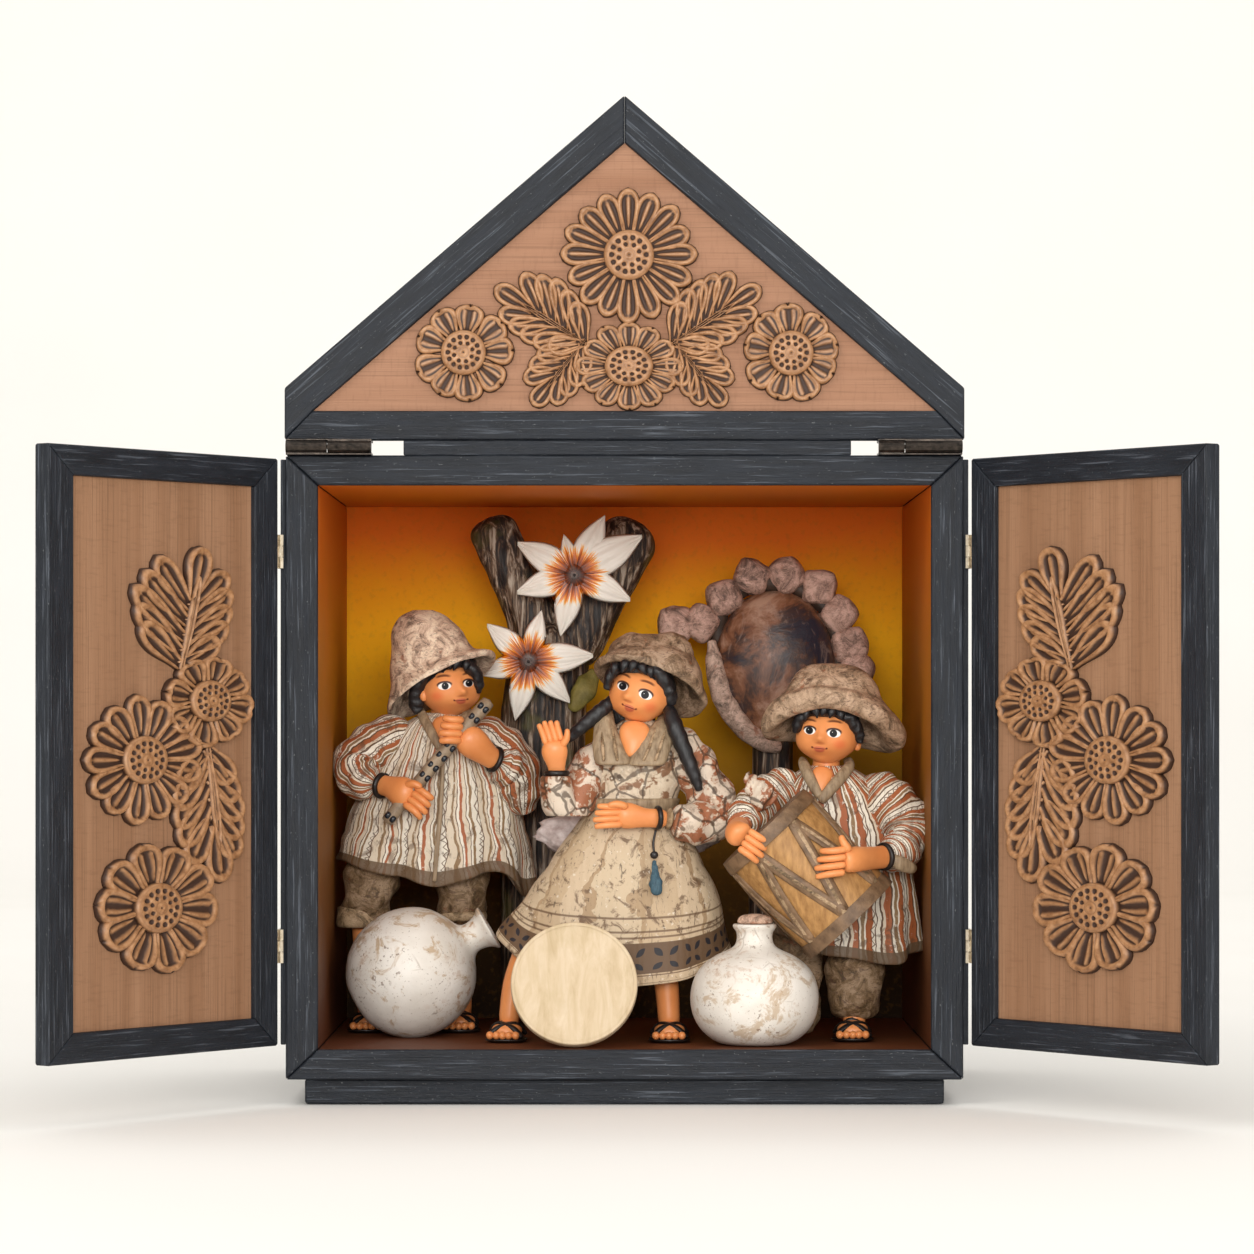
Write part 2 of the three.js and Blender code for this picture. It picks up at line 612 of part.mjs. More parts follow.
function drumBoy() {
  const hem = [[-30, 52], [5, 40], [33, 36], [46, 42]];
  const poncho = loft([
    { x: 10, z: 0, rx: 36, ry: 18, lift: (x, y) => along(hem, x) + (y > 0 ? 3 : 0) },
    { x: 9, z: 80, rx: 34, ry: 17 },
    { x: 6, z: 104, rx: 33, ry: 16 },
    { x: 4, z: 117, rx: 25, ry: 14 },
    { x: 3, z: 124, rx: 15, ry: 11 },
    { x: 3, z: 128, rx: 8, ry: 7 },
  ]);
  const hat = loft([
    { x: 5, y: 0, z: 145, rx: 31, ry: 24, lean: -5, pitch: 16 },
    { x: 5, y: 0, z: 152, rx: 32, ry: 25, lean: -6, pitch: 16 },
    { x: 5, y: 1, z: 158, rx: 24, ry: 20, lean: -4, pitch: 10 },
    { x: 5, y: 1, z: 168, rx: 19, ry: 16, pitch: 4 },
    { x: 4, y: 1, z: 174, rx: 9, ry: 8 },
  ]);
  return modelled([
    poncho,
    hat,
    ball(2.5, -4, 141, 14.2, 13.5, 13.6),
    bar([2, 0, 120], [2.5, -1, 132], 6.5, 6),
    bar([-27.2, -30, 99], [11.8, -30, 57.3], 24.4, 24.4, 16),
    bar([-18, -2, 116], [-34, -14, 104], 10, 10),
    bar([-34, -14, 104], [-37, -30, 99], 10, 8),
    bar([-37, -29, 99], [-39, -44, 97], 4.5, 4),
    ball(-38.5, -47, 96, 7, 5, 7),
    bar([24, -2, 116], [38, -10, 100], 11, 11),
    ball(38, -10, 98, 9, 10, 12),
    bar([38, -12, 96], [27, -40, 86], 9, 6.5),
    bar([29, -38, 86], [17, -46, 84], 4.5, 4),
    ball(9, -46, 84, 10, 6, 6),
    bar([14, 0, 60], [15.5, 0, 11], 14, 13, 8),
    bar([-6, 0, 60], [-7, 4, 11], 13, 12, 8),
    bar([14, 0, 20], [13.5, 0, 3], 5.5, 5.5),
    bar([-7, 4, 20], [-8, 3, 3], 5.5, 5.5),
    ball(13.4, -4, 4.2, 12, 13, 4.6),
    ball(-8, 2, 4.2, 10, 12, 4.6),
  ]);
}

// ---- things around the figures ------------------------------------------

function roundJar() {
  const profile = [[0, -30], [12, -28.5], [22, -21], [28.5, -10], [30.2, 0], [28.5, 10], [21, 21], [12, 27.5],
    [7.5, 30.5], [7.2, 35], [10.5, 41], [9, 41.4], [4.6, 36.5], [4.4, 26], [16, 18], [24.5, 0], [16, -18],
    [0, -24.5]];
  const points = profile.map(([r, z]) => new THREE.Vector2(r, z));
  const lathe = new THREE.LatheGeometry(points, 14).rotateX(Math.PI / 2);
  lathe.rotateY(THREE.MathUtils.degToRad(60));
  return lathe;
}

function longNeckJar() {
  const profile = [[0, 0], [14, 0.2], [22, 3.5], [28, 12], [29.4, 22], [27, 32], [20, 40], [11, 44.5],
    [8.4, 47], [8.4, 51.2], [10, 53.8], [9.4, 55], [6.6, 54.9], [6, 46.4], [5.5, 40.5], [16, 35], [23.8, 22],
    [16, 7.5], [0, 6]];
  const points = profile.map(([r, z]) => new THREE.Vector2(r, z));
  return new THREE.LatheGeometry(points, 14).rotateX(Math.PI / 2);
}

function stopper() {
  const profile = [[0, 0], [5, 0], [5.3, 8.7], [8, 9], [7.6, 10.8], [4, 12.6], [0, 13]];
  const points = profile.map(([r, z]) => new THREE.Vector2(r, z));
  return new THREE.LatheGeometry(points, 10).rotateX(Math.PI / 2);
}

function drumDisc() {
  const profile = [[0, 0], [28.7, 0.3], [28.7, 5.7], [0, 6]];
  const points = profile.map(([r, y]) => new THREE.Vector2(r, y));
  const lathe = new THREE.LatheGeometry(points, 28);
  lathe.rotateX(THREE.MathUtils.degToRad(-18));
  return lathe;
}

function forkedTree() {
  return modelled([
    bar([-37, 0, 0], [-40, 0, 150], 24, 20.5, 12),
    bar([-40, 0, 148], [-33, 0, 192], 20.5, 18, 12),
    ball(-33, 0, 190, 18, 17, 18, 12, 8),
    bar([-38, 0, 182], [-67, 2, 247], 15, 11, 10),
    bar([-30, 0, 180], [7, 1, 244.5], 16, 14, 10),
  ]);
}

// A pointed star flower facing -Y; each petal is a folded blade with a raised ridge.
function starFlower(petals, inner) {
  const outline = [];
  petals.forEach(([angle, length], i) => {
    const next = petals[(i + 1) % petals.length][0] + (i + 1 === petals.length ? 360 : 0);
    const a = THREE.MathUtils.degToRad(angle);
    const b = THREE.MathUtils.degToRad((angle + next) / 2);
    outline.push([Math.cos(a) * length, Math.sin(a) * length]);
    outline.push([Math.cos(b) * inner, Math.sin(b) * inner]);
  });
  const points = [new THREE.Vector3(0, -4.6, 0), new THREE.Vector3(0, 2.4, 0)];
  outline.forEach(([x, z], i) => {
    const outer = i % 2 === 0;
    points.push(new THREE.Vector3(x, outer ? -2.2 : -2.6, z));
    points.push(new THREE.Vector3(x, outer ? -0.6 : 1.4, z));
  });
  const index = [];
  const count = outline.length;
  for (let i = 0; i < count; i += 1) {
    const a = 2 + i * 2;
    const b = 2 + ((i + 1) % count) * 2;
    index.push(0, a, b, 1, b + 1, a + 1, a, a + 1, b + 1, a, b + 1, b);
  }
  return new THREE.BufferGeometry().setFromPoints(points).setIndex(index);
}

function fruitPod() {
  const pieces = [ball(73, 0, 174, 30, 15, 37.5, 12, 6)];
  const balls = [[25, 194.5], [37, 195.4], [48.5, 207.5], [61.9, 217.5], [78.9, 218.3], [94.4, 212.5],
    [104, 199.3], [109.2, 184.7], [112.5, 172]];
  balls.forEach(([x, z], i) => {
    pieces.push(ball(x, 2, z, 9, 9, 9, 6, 4));
    if (i === 1) pieces.push(bar([25, 3, 194], [52, 3, 188], 4, 4, 5));
  });
  const rim = [[43, 184], [44.5, 168], [51, 153], [61, 141], [74, 134.5]];
  for (let i = 1; i < rim.length; i += 1) {
    const [x0, z0] = rim[i - 1];
    const [x1, z1] = rim[i];
    pieces.push(bar([x0, -5, z0], [x1, -5, z1], 4.4, 4.4, 6));
  }
  pieces.push(bar([72, 6, 0], [72, 4, 150], 13, 10, 10));
  return modelled(pieces);
}

function interior() {
  const group = new THREE.Group();
  const put = (mesh, x, y) => {
    mesh.position.set(x, y, FLOOR + 0.05);
    group.add(mesh);
    return mesh;
  };
  put(node('figure_flute_boy', geometryOf(fluteBoy()), CLAY), -88.8, 7);
  put(node('figure_woman', geometryOf(raisedHandWoman()), CLAY), 0, -54);
  put(node('figure_drum_boy', geometryOf(drumBoy()), CLAY), 91.2, -50);
  put(node('jar_round', roundJar(), WHITE_CLAY), -99.5, -30).position.z += 30.2;
  put(node('jar_long_neck', longNeckJar(), WHITE_CLAY), 59.4, -83);
  put(node('jar_stopper', stopper(), POD_CLAY), 59.4, -83).position.z += 46.7;
  const disc = node('drum_disc', geometryOf(solid(drumDisc())), HIDE);
  put(disc, -22.8, -101).position.z += 29.2;
  put(node('tree', geometryOf(forkedTree()), BARK), 0, 54);
  const first = [[62, 31], [29, 37], [-25, 29.5], [-103, 30], [-162, 29], [152, 31], [106, 19]];
  const second = [[75, 24], [4, 31], [-45, 28], [-103, 29], [-163, 23], [140, 26]];
  const flowers = [
    node('star_flower_upper', geometryOf(outward(starFlower(first.reverse(), 12))), WHITE_CLAY),
    node('star_flower_lower', geometryOf(outward(starFlower(second.reverse(), 12))), WHITE_CLAY),
  ];
  put(flowers[0], -24, 30).position.z += 217.5;
  put(flowers[1], -46, 28).position.z += 176;
  put(node('fruit_pod', geometryOf(fruitPod()), POD_CLAY), 0, 56);
  return group;
}

// ---- assembly -----------------------------------------------------------

const shrine = new THREE.Group();
shrine.name = 'folding_shrine_box';
shrine.add(plinth(), ...caseBoards(), restStrip(), hingeStrip(-1), hingeStrip(1));

for (const side of [-1, 1]) {
  const name = side < 0 ? 'left' : 'right';
  HINGE_LEVELS.forEach((level, i) => {
    const half = brassCaseHalf(side).translate([side * DOOR_PIN_X, FRONT - DOOR_PIN_AHEAD, level]);
    shrine.add(node(`case_${name}_hinge_${i + 1}`, geometryOf(half), BRASS));
  });
  shrine.add(doorParts(side));
}

shrine.add(...pediment());
for (const [name, span] of Object.entries(STEEL_HINGES)) {
  const { caseHalf, pedimentHalf } = steelHinge(...span);
  const pin = [0, FRONT - PEDIMENT_PIN_AHEAD, PEDIMENT_PIN_Z];
  shrine.add(node(`case_top_hinge_${name}`, geometryOf(caseHalf.translate(pin)), DARK_STEEL));
  shrine.add(node(`pediment_hinge_${name}`, geometryOf(pedimentHalf.translate(pin)), DARK_STEEL));
}

shrine.add(interior());

export default shrine;
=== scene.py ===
# %% [markdown]
# # Folding shrine box
# A dark wooden case on a low plinth, with two hinged doors, a hinged gable, carved
# garlands and a painted room that holds three modelled figures. Each step below
# says what it makes, then makes it with bmesh operators around the measured solids.

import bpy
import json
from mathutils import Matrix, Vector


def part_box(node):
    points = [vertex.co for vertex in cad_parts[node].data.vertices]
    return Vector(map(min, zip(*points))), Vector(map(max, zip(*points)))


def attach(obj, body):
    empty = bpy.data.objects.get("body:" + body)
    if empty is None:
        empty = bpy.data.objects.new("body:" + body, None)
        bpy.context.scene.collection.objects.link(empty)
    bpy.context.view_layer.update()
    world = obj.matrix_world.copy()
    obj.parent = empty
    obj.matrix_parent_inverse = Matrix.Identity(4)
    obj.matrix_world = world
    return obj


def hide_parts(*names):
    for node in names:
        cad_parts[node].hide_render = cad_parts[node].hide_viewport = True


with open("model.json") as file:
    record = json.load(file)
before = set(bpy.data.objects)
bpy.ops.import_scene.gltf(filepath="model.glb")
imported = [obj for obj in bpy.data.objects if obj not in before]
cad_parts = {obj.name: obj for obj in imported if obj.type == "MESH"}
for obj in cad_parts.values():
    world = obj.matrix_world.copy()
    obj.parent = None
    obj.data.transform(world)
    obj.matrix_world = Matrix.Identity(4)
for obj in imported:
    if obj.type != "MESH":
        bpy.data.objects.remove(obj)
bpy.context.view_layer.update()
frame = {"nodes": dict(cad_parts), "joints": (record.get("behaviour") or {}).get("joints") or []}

import json
import math
import random

import bmesh
import bpy
from mathutils import Matrix, Vector

MM = 0.001


# %% [markdown]
# ## Materials
# Every surface of the real box is painted by hand over wood or plaster paste: a base
# coat, rubbed light spots, dark stain in the hollows and fine scratches. Painted images
# would be one way to make these coats. Here each coat is a few procedural nodes, because
# they run through a piece in all directions and never stretch over a round form. Paint
# gathers the steps that all the recipes share.

# %% A small kit for procedural materials
class Paint:
    """One procedural material while it is put together."""

    def __init__(self, name):
        self.material = bpy.data.materials.new(name)
        self.material.use_nodes = True
        self.tree = self.material.node_tree
        self.shader = self.tree.nodes["Principled BSDF"]

    def node(self, kind, settings=None, **inputs):
        made = self.tree.nodes.new(kind)
        for key, value in (settings or {}).items():
            setattr(made, key, value)
        for key, value in inputs.items():
            self.feed(made.inputs[key.replace("_", " ")], value)
        return made

    def feed(self, socket, value):
        if isinstance(value, bpy.types.NodeSocket):
            self.tree.links.new(value, socket)
        else:
            socket.default_value = value

    def place(self, scale=(1, 1, 1), turn=(0, 0, 0), shift=(0, 0, 0)):
        coords = self.node("ShaderNodeTexCoord").outputs["Object"]
        turned = self.node("ShaderNodeMapping", Vector=coords, Rotation=turn, Location=shift)
        scaled = self.node("ShaderNodeMapping", Vector=turned.outputs["Vector"], Scale=scale)
        return scaled.outputs["Vector"]

    def noise(self, vector, scale, detail=4.0, rough=0.55, bend=0.0):
        made = self.node(
            "ShaderNodeTexNoise", Vector=vector, Scale=scale, Detail=detail, Roughness=rough, Distortion=bend
        )
        return made.outputs["Fac"]

    def cells(self, vector, scale, feature="F1"):
        made = self.node("ShaderNodeTexVoronoi", {"feature": feature}, Vector=vector, Scale=scale)
        return made.outputs["Distance"]

    def ramp(self, value, stops, kind="LINEAR"):
        made = self.node("ShaderNodeValToRGB", Fac=value)
        ramp = made.color_ramp
        ramp.interpolation = kind
        while len(ramp.elements) < len(stops):
            ramp.elements.new(0.5)
        for element, (at, color) in zip(ramp.elements, stops):
            element.position = at
            element.color = (*color, 1)
        return made.outputs["Color"]

    def step(self, value, low, high):
        made = self.node("ShaderNodeMapRange", {"interpolation_type": "SMOOTHSTEP"}, Value=value)
        self.feed(made.inputs["From Min"], low)
        self.feed(made.inputs["From Max"], high)
        return made.outputs["Result"]

    def math(self, operation, a, b=0.0, c=0.0):
        made = self.node("ShaderNodeMath", {"operation": operation})
        for socket, value in zip(made.inputs, (a, b, c)):
            self.feed(socket, value)
        return made.outputs["Value"]

    def times(self, a, b):
        return self.math("MULTIPLY", a, b)

    def plus(self, a, b):
        return self.math("ADD", a, b)

    def less(self, a, b):
        return self.math("SUBTRACT", a, b)

    def size(self, a):
        return self.math("ABSOLUTE", a)

    def cover(self, color, tone, mask, strength):
        """Lays tone over color where mask is 1, as thickly as strength says."""
        return self.mix(self.times(mask, strength), color, tone)

    def mix(self, amount, a, b):
        made = self.node("ShaderNodeMix", {"data_type": "RGBA"})
        self.feed(made.inputs[0], amount)
        self.feed(made.inputs[6], a if isinstance(a, bpy.types.NodeSocket) else (*a, 1))
        self.feed(made.inputs[7], b if isinstance(b, bpy.types.NodeSocket) else (*b, 1))
        return made.outputs[2]

    def value(self, name):
        return self.node("ShaderNodeAttribute", {"attribute_name": name}).outputs["Fac"]

    def axis(self, vector, which):
        return self.node("ShaderNodeSeparateXYZ", Vector=vector).outputs[which]

    def oval(self, vector, centre, half, soft, turn):
        """1 inside an oval in the XZ plane of vector, fading to 0 over its soft edge."""
        moved = self.node("ShaderNodeVectorMath", {"operation": "SUBTRACT"})
        self.feed(moved.inputs[0], vector)
        self.feed(moved.inputs[1], (centre[0], 0, centre[1]))
        turned = self.node("ShaderNodeMapping", Vector=moved.outputs[0], Rotation=(0, turn, 0))
        scaled = self.node("ShaderNodeVectorMath", {"operation": "MULTIPLY"})
        self.feed(scaled.inputs[0], turned.outputs[0])
        self.feed(scaled.inputs[1], (1 / half[0], 0, 1 / half[1]))
        far = self.node("ShaderNodeVectorMath", {"operation": "LENGTH"})
        self.feed(far.inputs[0], scaled.outputs[0])
        return self.step(far.outputs["Value"], 1 + soft, 1 - soft)

    def bump(self, height, strength, distance):
        made = self.node("ShaderNodeBump", Strength=strength, Distance=distance, Height=height)
        return made.outputs["Normal"]

    def done(self, color, roughness, normal=None, specular=0.5, metallic=0.0):
        self.feed(self.shader.inputs["Base Color"], color)
        self.feed(self.shader.inputs["Roughness"], roughness)
        self.feed(self.shader.inputs["Metallic"], metallic)
        self.feed(self.shader.inputs["Specular IOR Level"], specular)
        if normal is not None:
            self.feed(self.shader.inputs["Normal"], normal)
        return self.material


# %% [markdown]
# ## Dark painted wood
# The boards are blue-black, and their grain shows as pale broken scratches along each
# board. A wave texture would draw even lines, so noise stretched along the grain is used,
# turned for each way that a board runs. Chips of the ground show in a few spots.

# %% Painted dark wood, one for each way the grain runs
def dark_wood(name, turn=(0, 0, 0)):
    p = Paint(name)
    grain = p.noise(p.place((26, 900, 900), turn), 1.0, 5, 0.62)
    brushed = p.noise(p.place((60, 330, 330), turn), 1.0, 4, 0.55)
    broad = p.noise(p.place((12, 40, 40), turn), 1.0, 3, 0.5)
    chips = p.noise(p.place((500, 1500, 1500), turn), 1.0, 3, 0.6)
    base = p.ramp(brushed, [(0.3, (0.002, 0.004, 0.008)), (0.7, (0.010, 0.014, 0.022))])
    base = p.cover(base, (0.020, 0.026, 0.036), p.step(broad, 0.45, 0.75), 0.25)
    lit = p.cover(base, (0.095, 0.11, 0.135), p.step(grain, 0.56, 0.68), 0.7)
    worn = p.cover(lit, (0.24, 0.25, 0.26), p.step(chips, 0.66, 0.74), 0.5)
    height = p.plus(p.times(grain, 0.9), p.times(chips, 0.35))
    rough = p.math("MULTIPLY_ADD", brushed, 0.2, 0.46)
    return p.done(worn, rough, p.bump(height, 0.75, 0.0011), specular=0.4)


DARK_X = dark_wood("dark_wood_along_x")
DARK_Z = dark_wood("dark_wood_along_z", (0, math.radians(90), 0))
print("dark woods:", DARK_X.name, DARK_Z.name)

# %% [markdown]
# ## Panels, carving and the painted room
# The panels are thinly stained tan wood, and the carving keeps dark stain in its hollows.
# The stain could be guessed from the light in a render, but the carving itself knows how
# deep each point lies, so it hands that depth to the paint as an attribute. The room's
# paint runs from dark ochre at the floor to yellow and orange at the ceiling, deepened
# towards the floor as painted shade: one ramp over the height does that, with a cloud
# added so that the bands don't end in straight lines. The back wall also has painted
# shade towards the side walls.

# %% Tan panels, carved wood and the painted room
def panel_wood(name, turn, tone, pale):
    p = Paint(name)
    fine = p.noise(p.place((14, 1100, 1100), turn), 1.0, 5, 0.65)
    broad = p.noise(p.place((3, 90, 90), turn), 1.0, 3, 0.5, 0.4)
    cross = p.noise(p.place((700, 120, 120), turn), 1.0, 2, 0.5)
    base = p.ramp(broad, [(0.3, tone), (0.72, pale)])
    dark = p.cover(base, tuple(0.52 * c for c in tone), p.step(fine, 0.46, 0.72), 0.5)
    shade = p.cover(dark, tuple(0.6 * c for c in tone), p.step(cross, 0.50, 0.75), 0.22)
    return p.done(shade, 0.7, p.bump(fine, 0.45, 0.0006), specular=0.25)


PANEL_X = panel_wood("panel_grain_along_x", (0, 0, 0), (0.30, 0.150, 0.086), (0.38, 0.205, 0.126))
PANEL_Z = panel_wood("panel_grain_along_z", (0, math.radians(90), 0), (0.265, 0.135, 0.07),
                     (0.355, 0.195, 0.11))


def carved_wood():
    p = Paint("carved_wood")
    depth = p.value("recess")
    patch = p.noise(p.place(), 260, 4, 0.6)
    fine = p.noise(p.place(), 1600, 3, 0.6)
    crest = p.ramp(patch, [(0.3, (0.22, 0.10, 0.040)), (0.52, (0.38, 0.19, 0.085)),
                           (0.76, (0.52, 0.29, 0.15))])
    stained = p.plus(depth, p.times(p.less(patch, 0.5), 0.55))
    color = p.mix(p.step(stained, 0.18, 0.72), crest, (0.040, 0.016, 0.008))
    rough = p.math("MULTIPLY_ADD", depth, 0.25, 0.36)
    return p.done(color, rough, p.bump(fine, 0.2, 0.0004), specular=0.45)


CARVED = carved_wood()


def back_paint_and_shade():
    p = Paint("painted_back")
    spot = p.place()
    high = p.axis(spot, "Z")
    side = p.size(p.axis(spot, "X"))
    cloud = p.noise(spot, 14, 5, 0.6)
    speck = p.noise(spot, 300, 3, 0.6)
    level = p.plus(high, p.times(p.less(cloud, 0.5), 0.05))
    # Taking off a little for the distance from the middle paints shade on the back wall towards the side
    # walls.
    level = p.less(level, p.times(side, 0.03))
    share = p.math("DIVIDE", level, 0.28)
    # The orange and yellow bands are the wall's paint; the dark lower stops deepen it towards the floor as
    # painted shade.
    color = p.ramp(share, [
        (0.08, (0.03, 0.014, 0.004)), (0.28, (0.08, 0.036, 0.005)), (0.45, (0.24, 0.105, 0.004)),
        (0.62, (0.70, 0.34, 0.002)), (0.74, (0.98, 0.48, 0.002)), (0.85, (0.98, 0.37, 0.004)),
        (0.94, (0.98, 0.21, 0.012)),
    ])
    dusty = p.cover(color, (0.45, 0.20, 0.02), p.step(speck, 0.5, 0.72), 0.18)
    return p.done(dusty, 0.7, p.bump(speck, 0.25, 0.0006), specular=0.2)


def side_paint_and_shade():
    p = Paint("side_paint_and_painted_shade")
    spot = p.place()
    high = p.axis(spot, "Z")
    cloud = p.noise(spot, 22, 4, 0.6)
    share = p.math("DIVIDE", p.plus(high, p.times(cloud, 0.04)), 0.30)
    # The ramp darkens the orange paint of the walls, floor and ceiling towards the floor, as painted shade.
    color = p.ramp(share, [
        (0.08, (0.12, 0.030, 0.008)), (0.25, (0.10, 0.028, 0.004)), (0.50, (0.24, 0.085, 0.003)),
        (0.72, (0.46, 0.16, 0.003)), (0.92, (0.62, 0.15, 0.004)),
    ])
    return p.done(color, 0.6, p.bump(cloud, 0.1, 0.0006), specular=0.3)


BACK_PAINT_AND_SHADE = back_paint_and_shade()
SIDE_PAINT_AND_SHADE = side_paint_and_shade()
print("materials so far:", len(bpy.data.materials))


# %% [markdown]
# ## Pieces and boards
# A piece is a bmesh made into an object at the origin that rides one body of the box. A
# board needs no new form: it is a copy of its solid, with the loose triangles joined to
# flat faces and each edge rounded by a small bevel, because a real edge always catches a
# line of light. The normals are weighted by face size, so that the flats stay flat beside
# their bevels.

# %% Piece and board makers
def piece(name, bm, materials, body, replaces=()):
    bmesh.ops.recalc_face_normals(bm, faces=bm.faces)
    mesh = bpy.data.meshes.new(name)
    bm.to_mesh(mesh)
    bm.free()
    for material in materials if isinstance(materials, list) else [materials]:
        mesh.materials.append(material)
    mesh.polygons.foreach_set("use_smooth", [True] * len(mesh.polygons))
    made = bpy.data.objects.new(name, mesh)
    bpy.context.scene.collection.objects.link(made)
    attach(made, body)
    if replaces:
        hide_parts(*replaces)
    return made


def board(node, body, materials, ease, sort=None):
    """A solid's copy with flat faces joined and every sharp edge rounded."""
    bm = bmesh.new()
    bm.from_mesh(frame["nodes"][node].data)
    bmesh.ops.remove_doubles(bm, verts=bm.verts, dist=1e-6)
    bmesh.ops.dissolve_limit(bm, angle_limit=0.01, verts=bm.verts, edges=bm.edges)
    bmesh.ops.bevel(
        bm, geom=bm.edges, offset=ease, offset_type="OFFSET", segments=2,
        affect="EDGES", profile=0.5, material=-1, clamp_overlap=True,
    )
    if sort:
        for face in bm.faces:
            face.material_index = sort(face)
    made = piece(node + "_eased", bm, materials, body, [node])
    made.modifiers.new("flat", "WEIGHTED_NORMAL").keep_sharp = True
    return made


# %% [markdown]
# ## Case, plinth and room
# The four boards of the case meet in mitres. They are dark outside and painted inside.
# Two layers of board would be one way, but one board with two paints is simpler and
# truer: each face takes its paint by where it lies.

# %% Case, plinth and room
low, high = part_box("board_left")
inner_x = -high.x - 0.0001
floor_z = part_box("board_bottom")[1].z
ceiling_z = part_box("board_top")[0].z
front_y = low.y


def inside(face):
    c = face.calc_center_median()
    n = face.normal
    deep = c.y > front_y + 0.004
    wall = abs(abs(c.x) - inner_x) < 0.0006 and abs(n.x) > 0.9
    level = (abs(c.z - floor_z) < 0.0003 or abs(c.z - ceiling_z) < 0.0003) and abs(n.z) > 0.9
    return 1 if deep and (wall or level) else 0


for name, wood in (("left", DARK_Z), ("right", DARK_Z), ("top", DARK_X), ("bottom", DARK_X)):
    board(f"board_{name}", "case", [wood, SIDE_PAINT_AND_SHADE], 0.0011, inside)
board("plinth", "case", DARK_X, 0.0012)
board("rest_strip", "case", DARK_X, 0.0006)
for side in ("left", "right"):
    board(f"hinge_strip_{side}", "case", DARK_Z, 0.0004)
board("back_panel", "case", [DARK_X, BACK_PAINT_AND_SHADE], 0.0005,
      lambda face: 1 if face.normal.y < -0.9 else 0)

# %% [markdown]
# ## Doors and gable
# Each door and the gable are mitred frames around a thin panel. Every member keeps its
# solid, so that the joints stay where they are. The grain of a rail runs across the
# turned door and that of a rafter runs up the slope, so their paint is turned by the same
# angle.

# %% Door and gable frames
joints = {joint["name"]: joint for joint in frame["joints"]}
OPEN = {
    side: math.radians(-joints[f"{side}_door_hinge"]["range_deg"][0])
    for side in ("left", "right")
}
for side, sign in (("left", -1), ("right", 1)):
    across = dark_wood(f"dark_wood_{side}_rail", (0, 0, -sign * OPEN[side]))
    for part in ("hinge_stile", "free_stile"):
        board(f"door_{side}_{part}", f"{side}_door", DARK_Z, 0.0008)
    for part in ("rail_top", "rail_bottom"):
        board(f"door_{side}_{part}", f"{side}_door", across, 0.0008)
    board(f"door_{side}_panel", f"{side}_door", PANEL_Z, 0.0001)

GABLE_RISE = 0.4544 - 0.3227
GABLE_HALF = 0.153
slope = math.atan2(GABLE_RISE, GABLE_HALF)
for side, turn in (("left", slope), ("right", -slope)):
    along_rafter = dark_wood(f"dark_wood_{side}_rafter", (0, turn, 0))
    board(f"pediment_rafter_{side}", "pediment", along_rafter, 0.0010)
board("pediment_rail", "pediment", DARK_X, 0.0010)
board("pediment_panel", "pediment", PANEL_X, 0.0001)
print("frame members eased; doors stand open by", round(math.degrees(OPEN["left"])), "degrees")


# %% [markdown]
# ## Carved garlands
# The garlands are carved in low relief: looped petals with a raised rim around a hollow,
# and a rib down the middle. A height image pushed into a flat plate would blur these
# forms. Each petal is a grid instead, bent to the outline of a loop and lifted by bell
# curves for rim and rib. Flowers set their petals around a dotted boss, and leaves set
# them along a midrib. Each vertex keeps how deep it lies, for the stain.

# %% Petals, discs and leaves
def smooth_step(low, high, x):
    t = min(1.0, max(0.0, (x - low) / (high - low)))
    return t * t * (3 - 2 * t)


def bell(x, centre, width):
    return math.exp(-(((x - centre) / width) ** 2))


def close_down(bm, to_world, verts, depth):
    """Walls from the open rim of verts down to the garland's plane, and a flat bottom."""
    layer = bm.verts.layers.float["recess"]
    own = set(verts)
    rim = [e for v in verts for e in v.link_edges if e.is_boundary and own.issuperset(e.verts)]
    skirt = bmesh.ops.extrude_edge_only(bm, edges=list(dict.fromkeys(rim)))["geom"]
    plane = to_world(0, 0, 0)
    out = (to_world(0, 0, 1) - plane).normalized()
    for v in (g for g in skirt if isinstance(g, bmesh.types.BMVert)):
        v.co -= out * (v.co - plane).dot(out)
        v[layer] = depth
    bottom = [g for g in skirt if isinstance(g, bmesh.types.BMEdge) and g.is_boundary]
    bmesh.ops.holes_fill(bm, edges=bottom, sides=0)


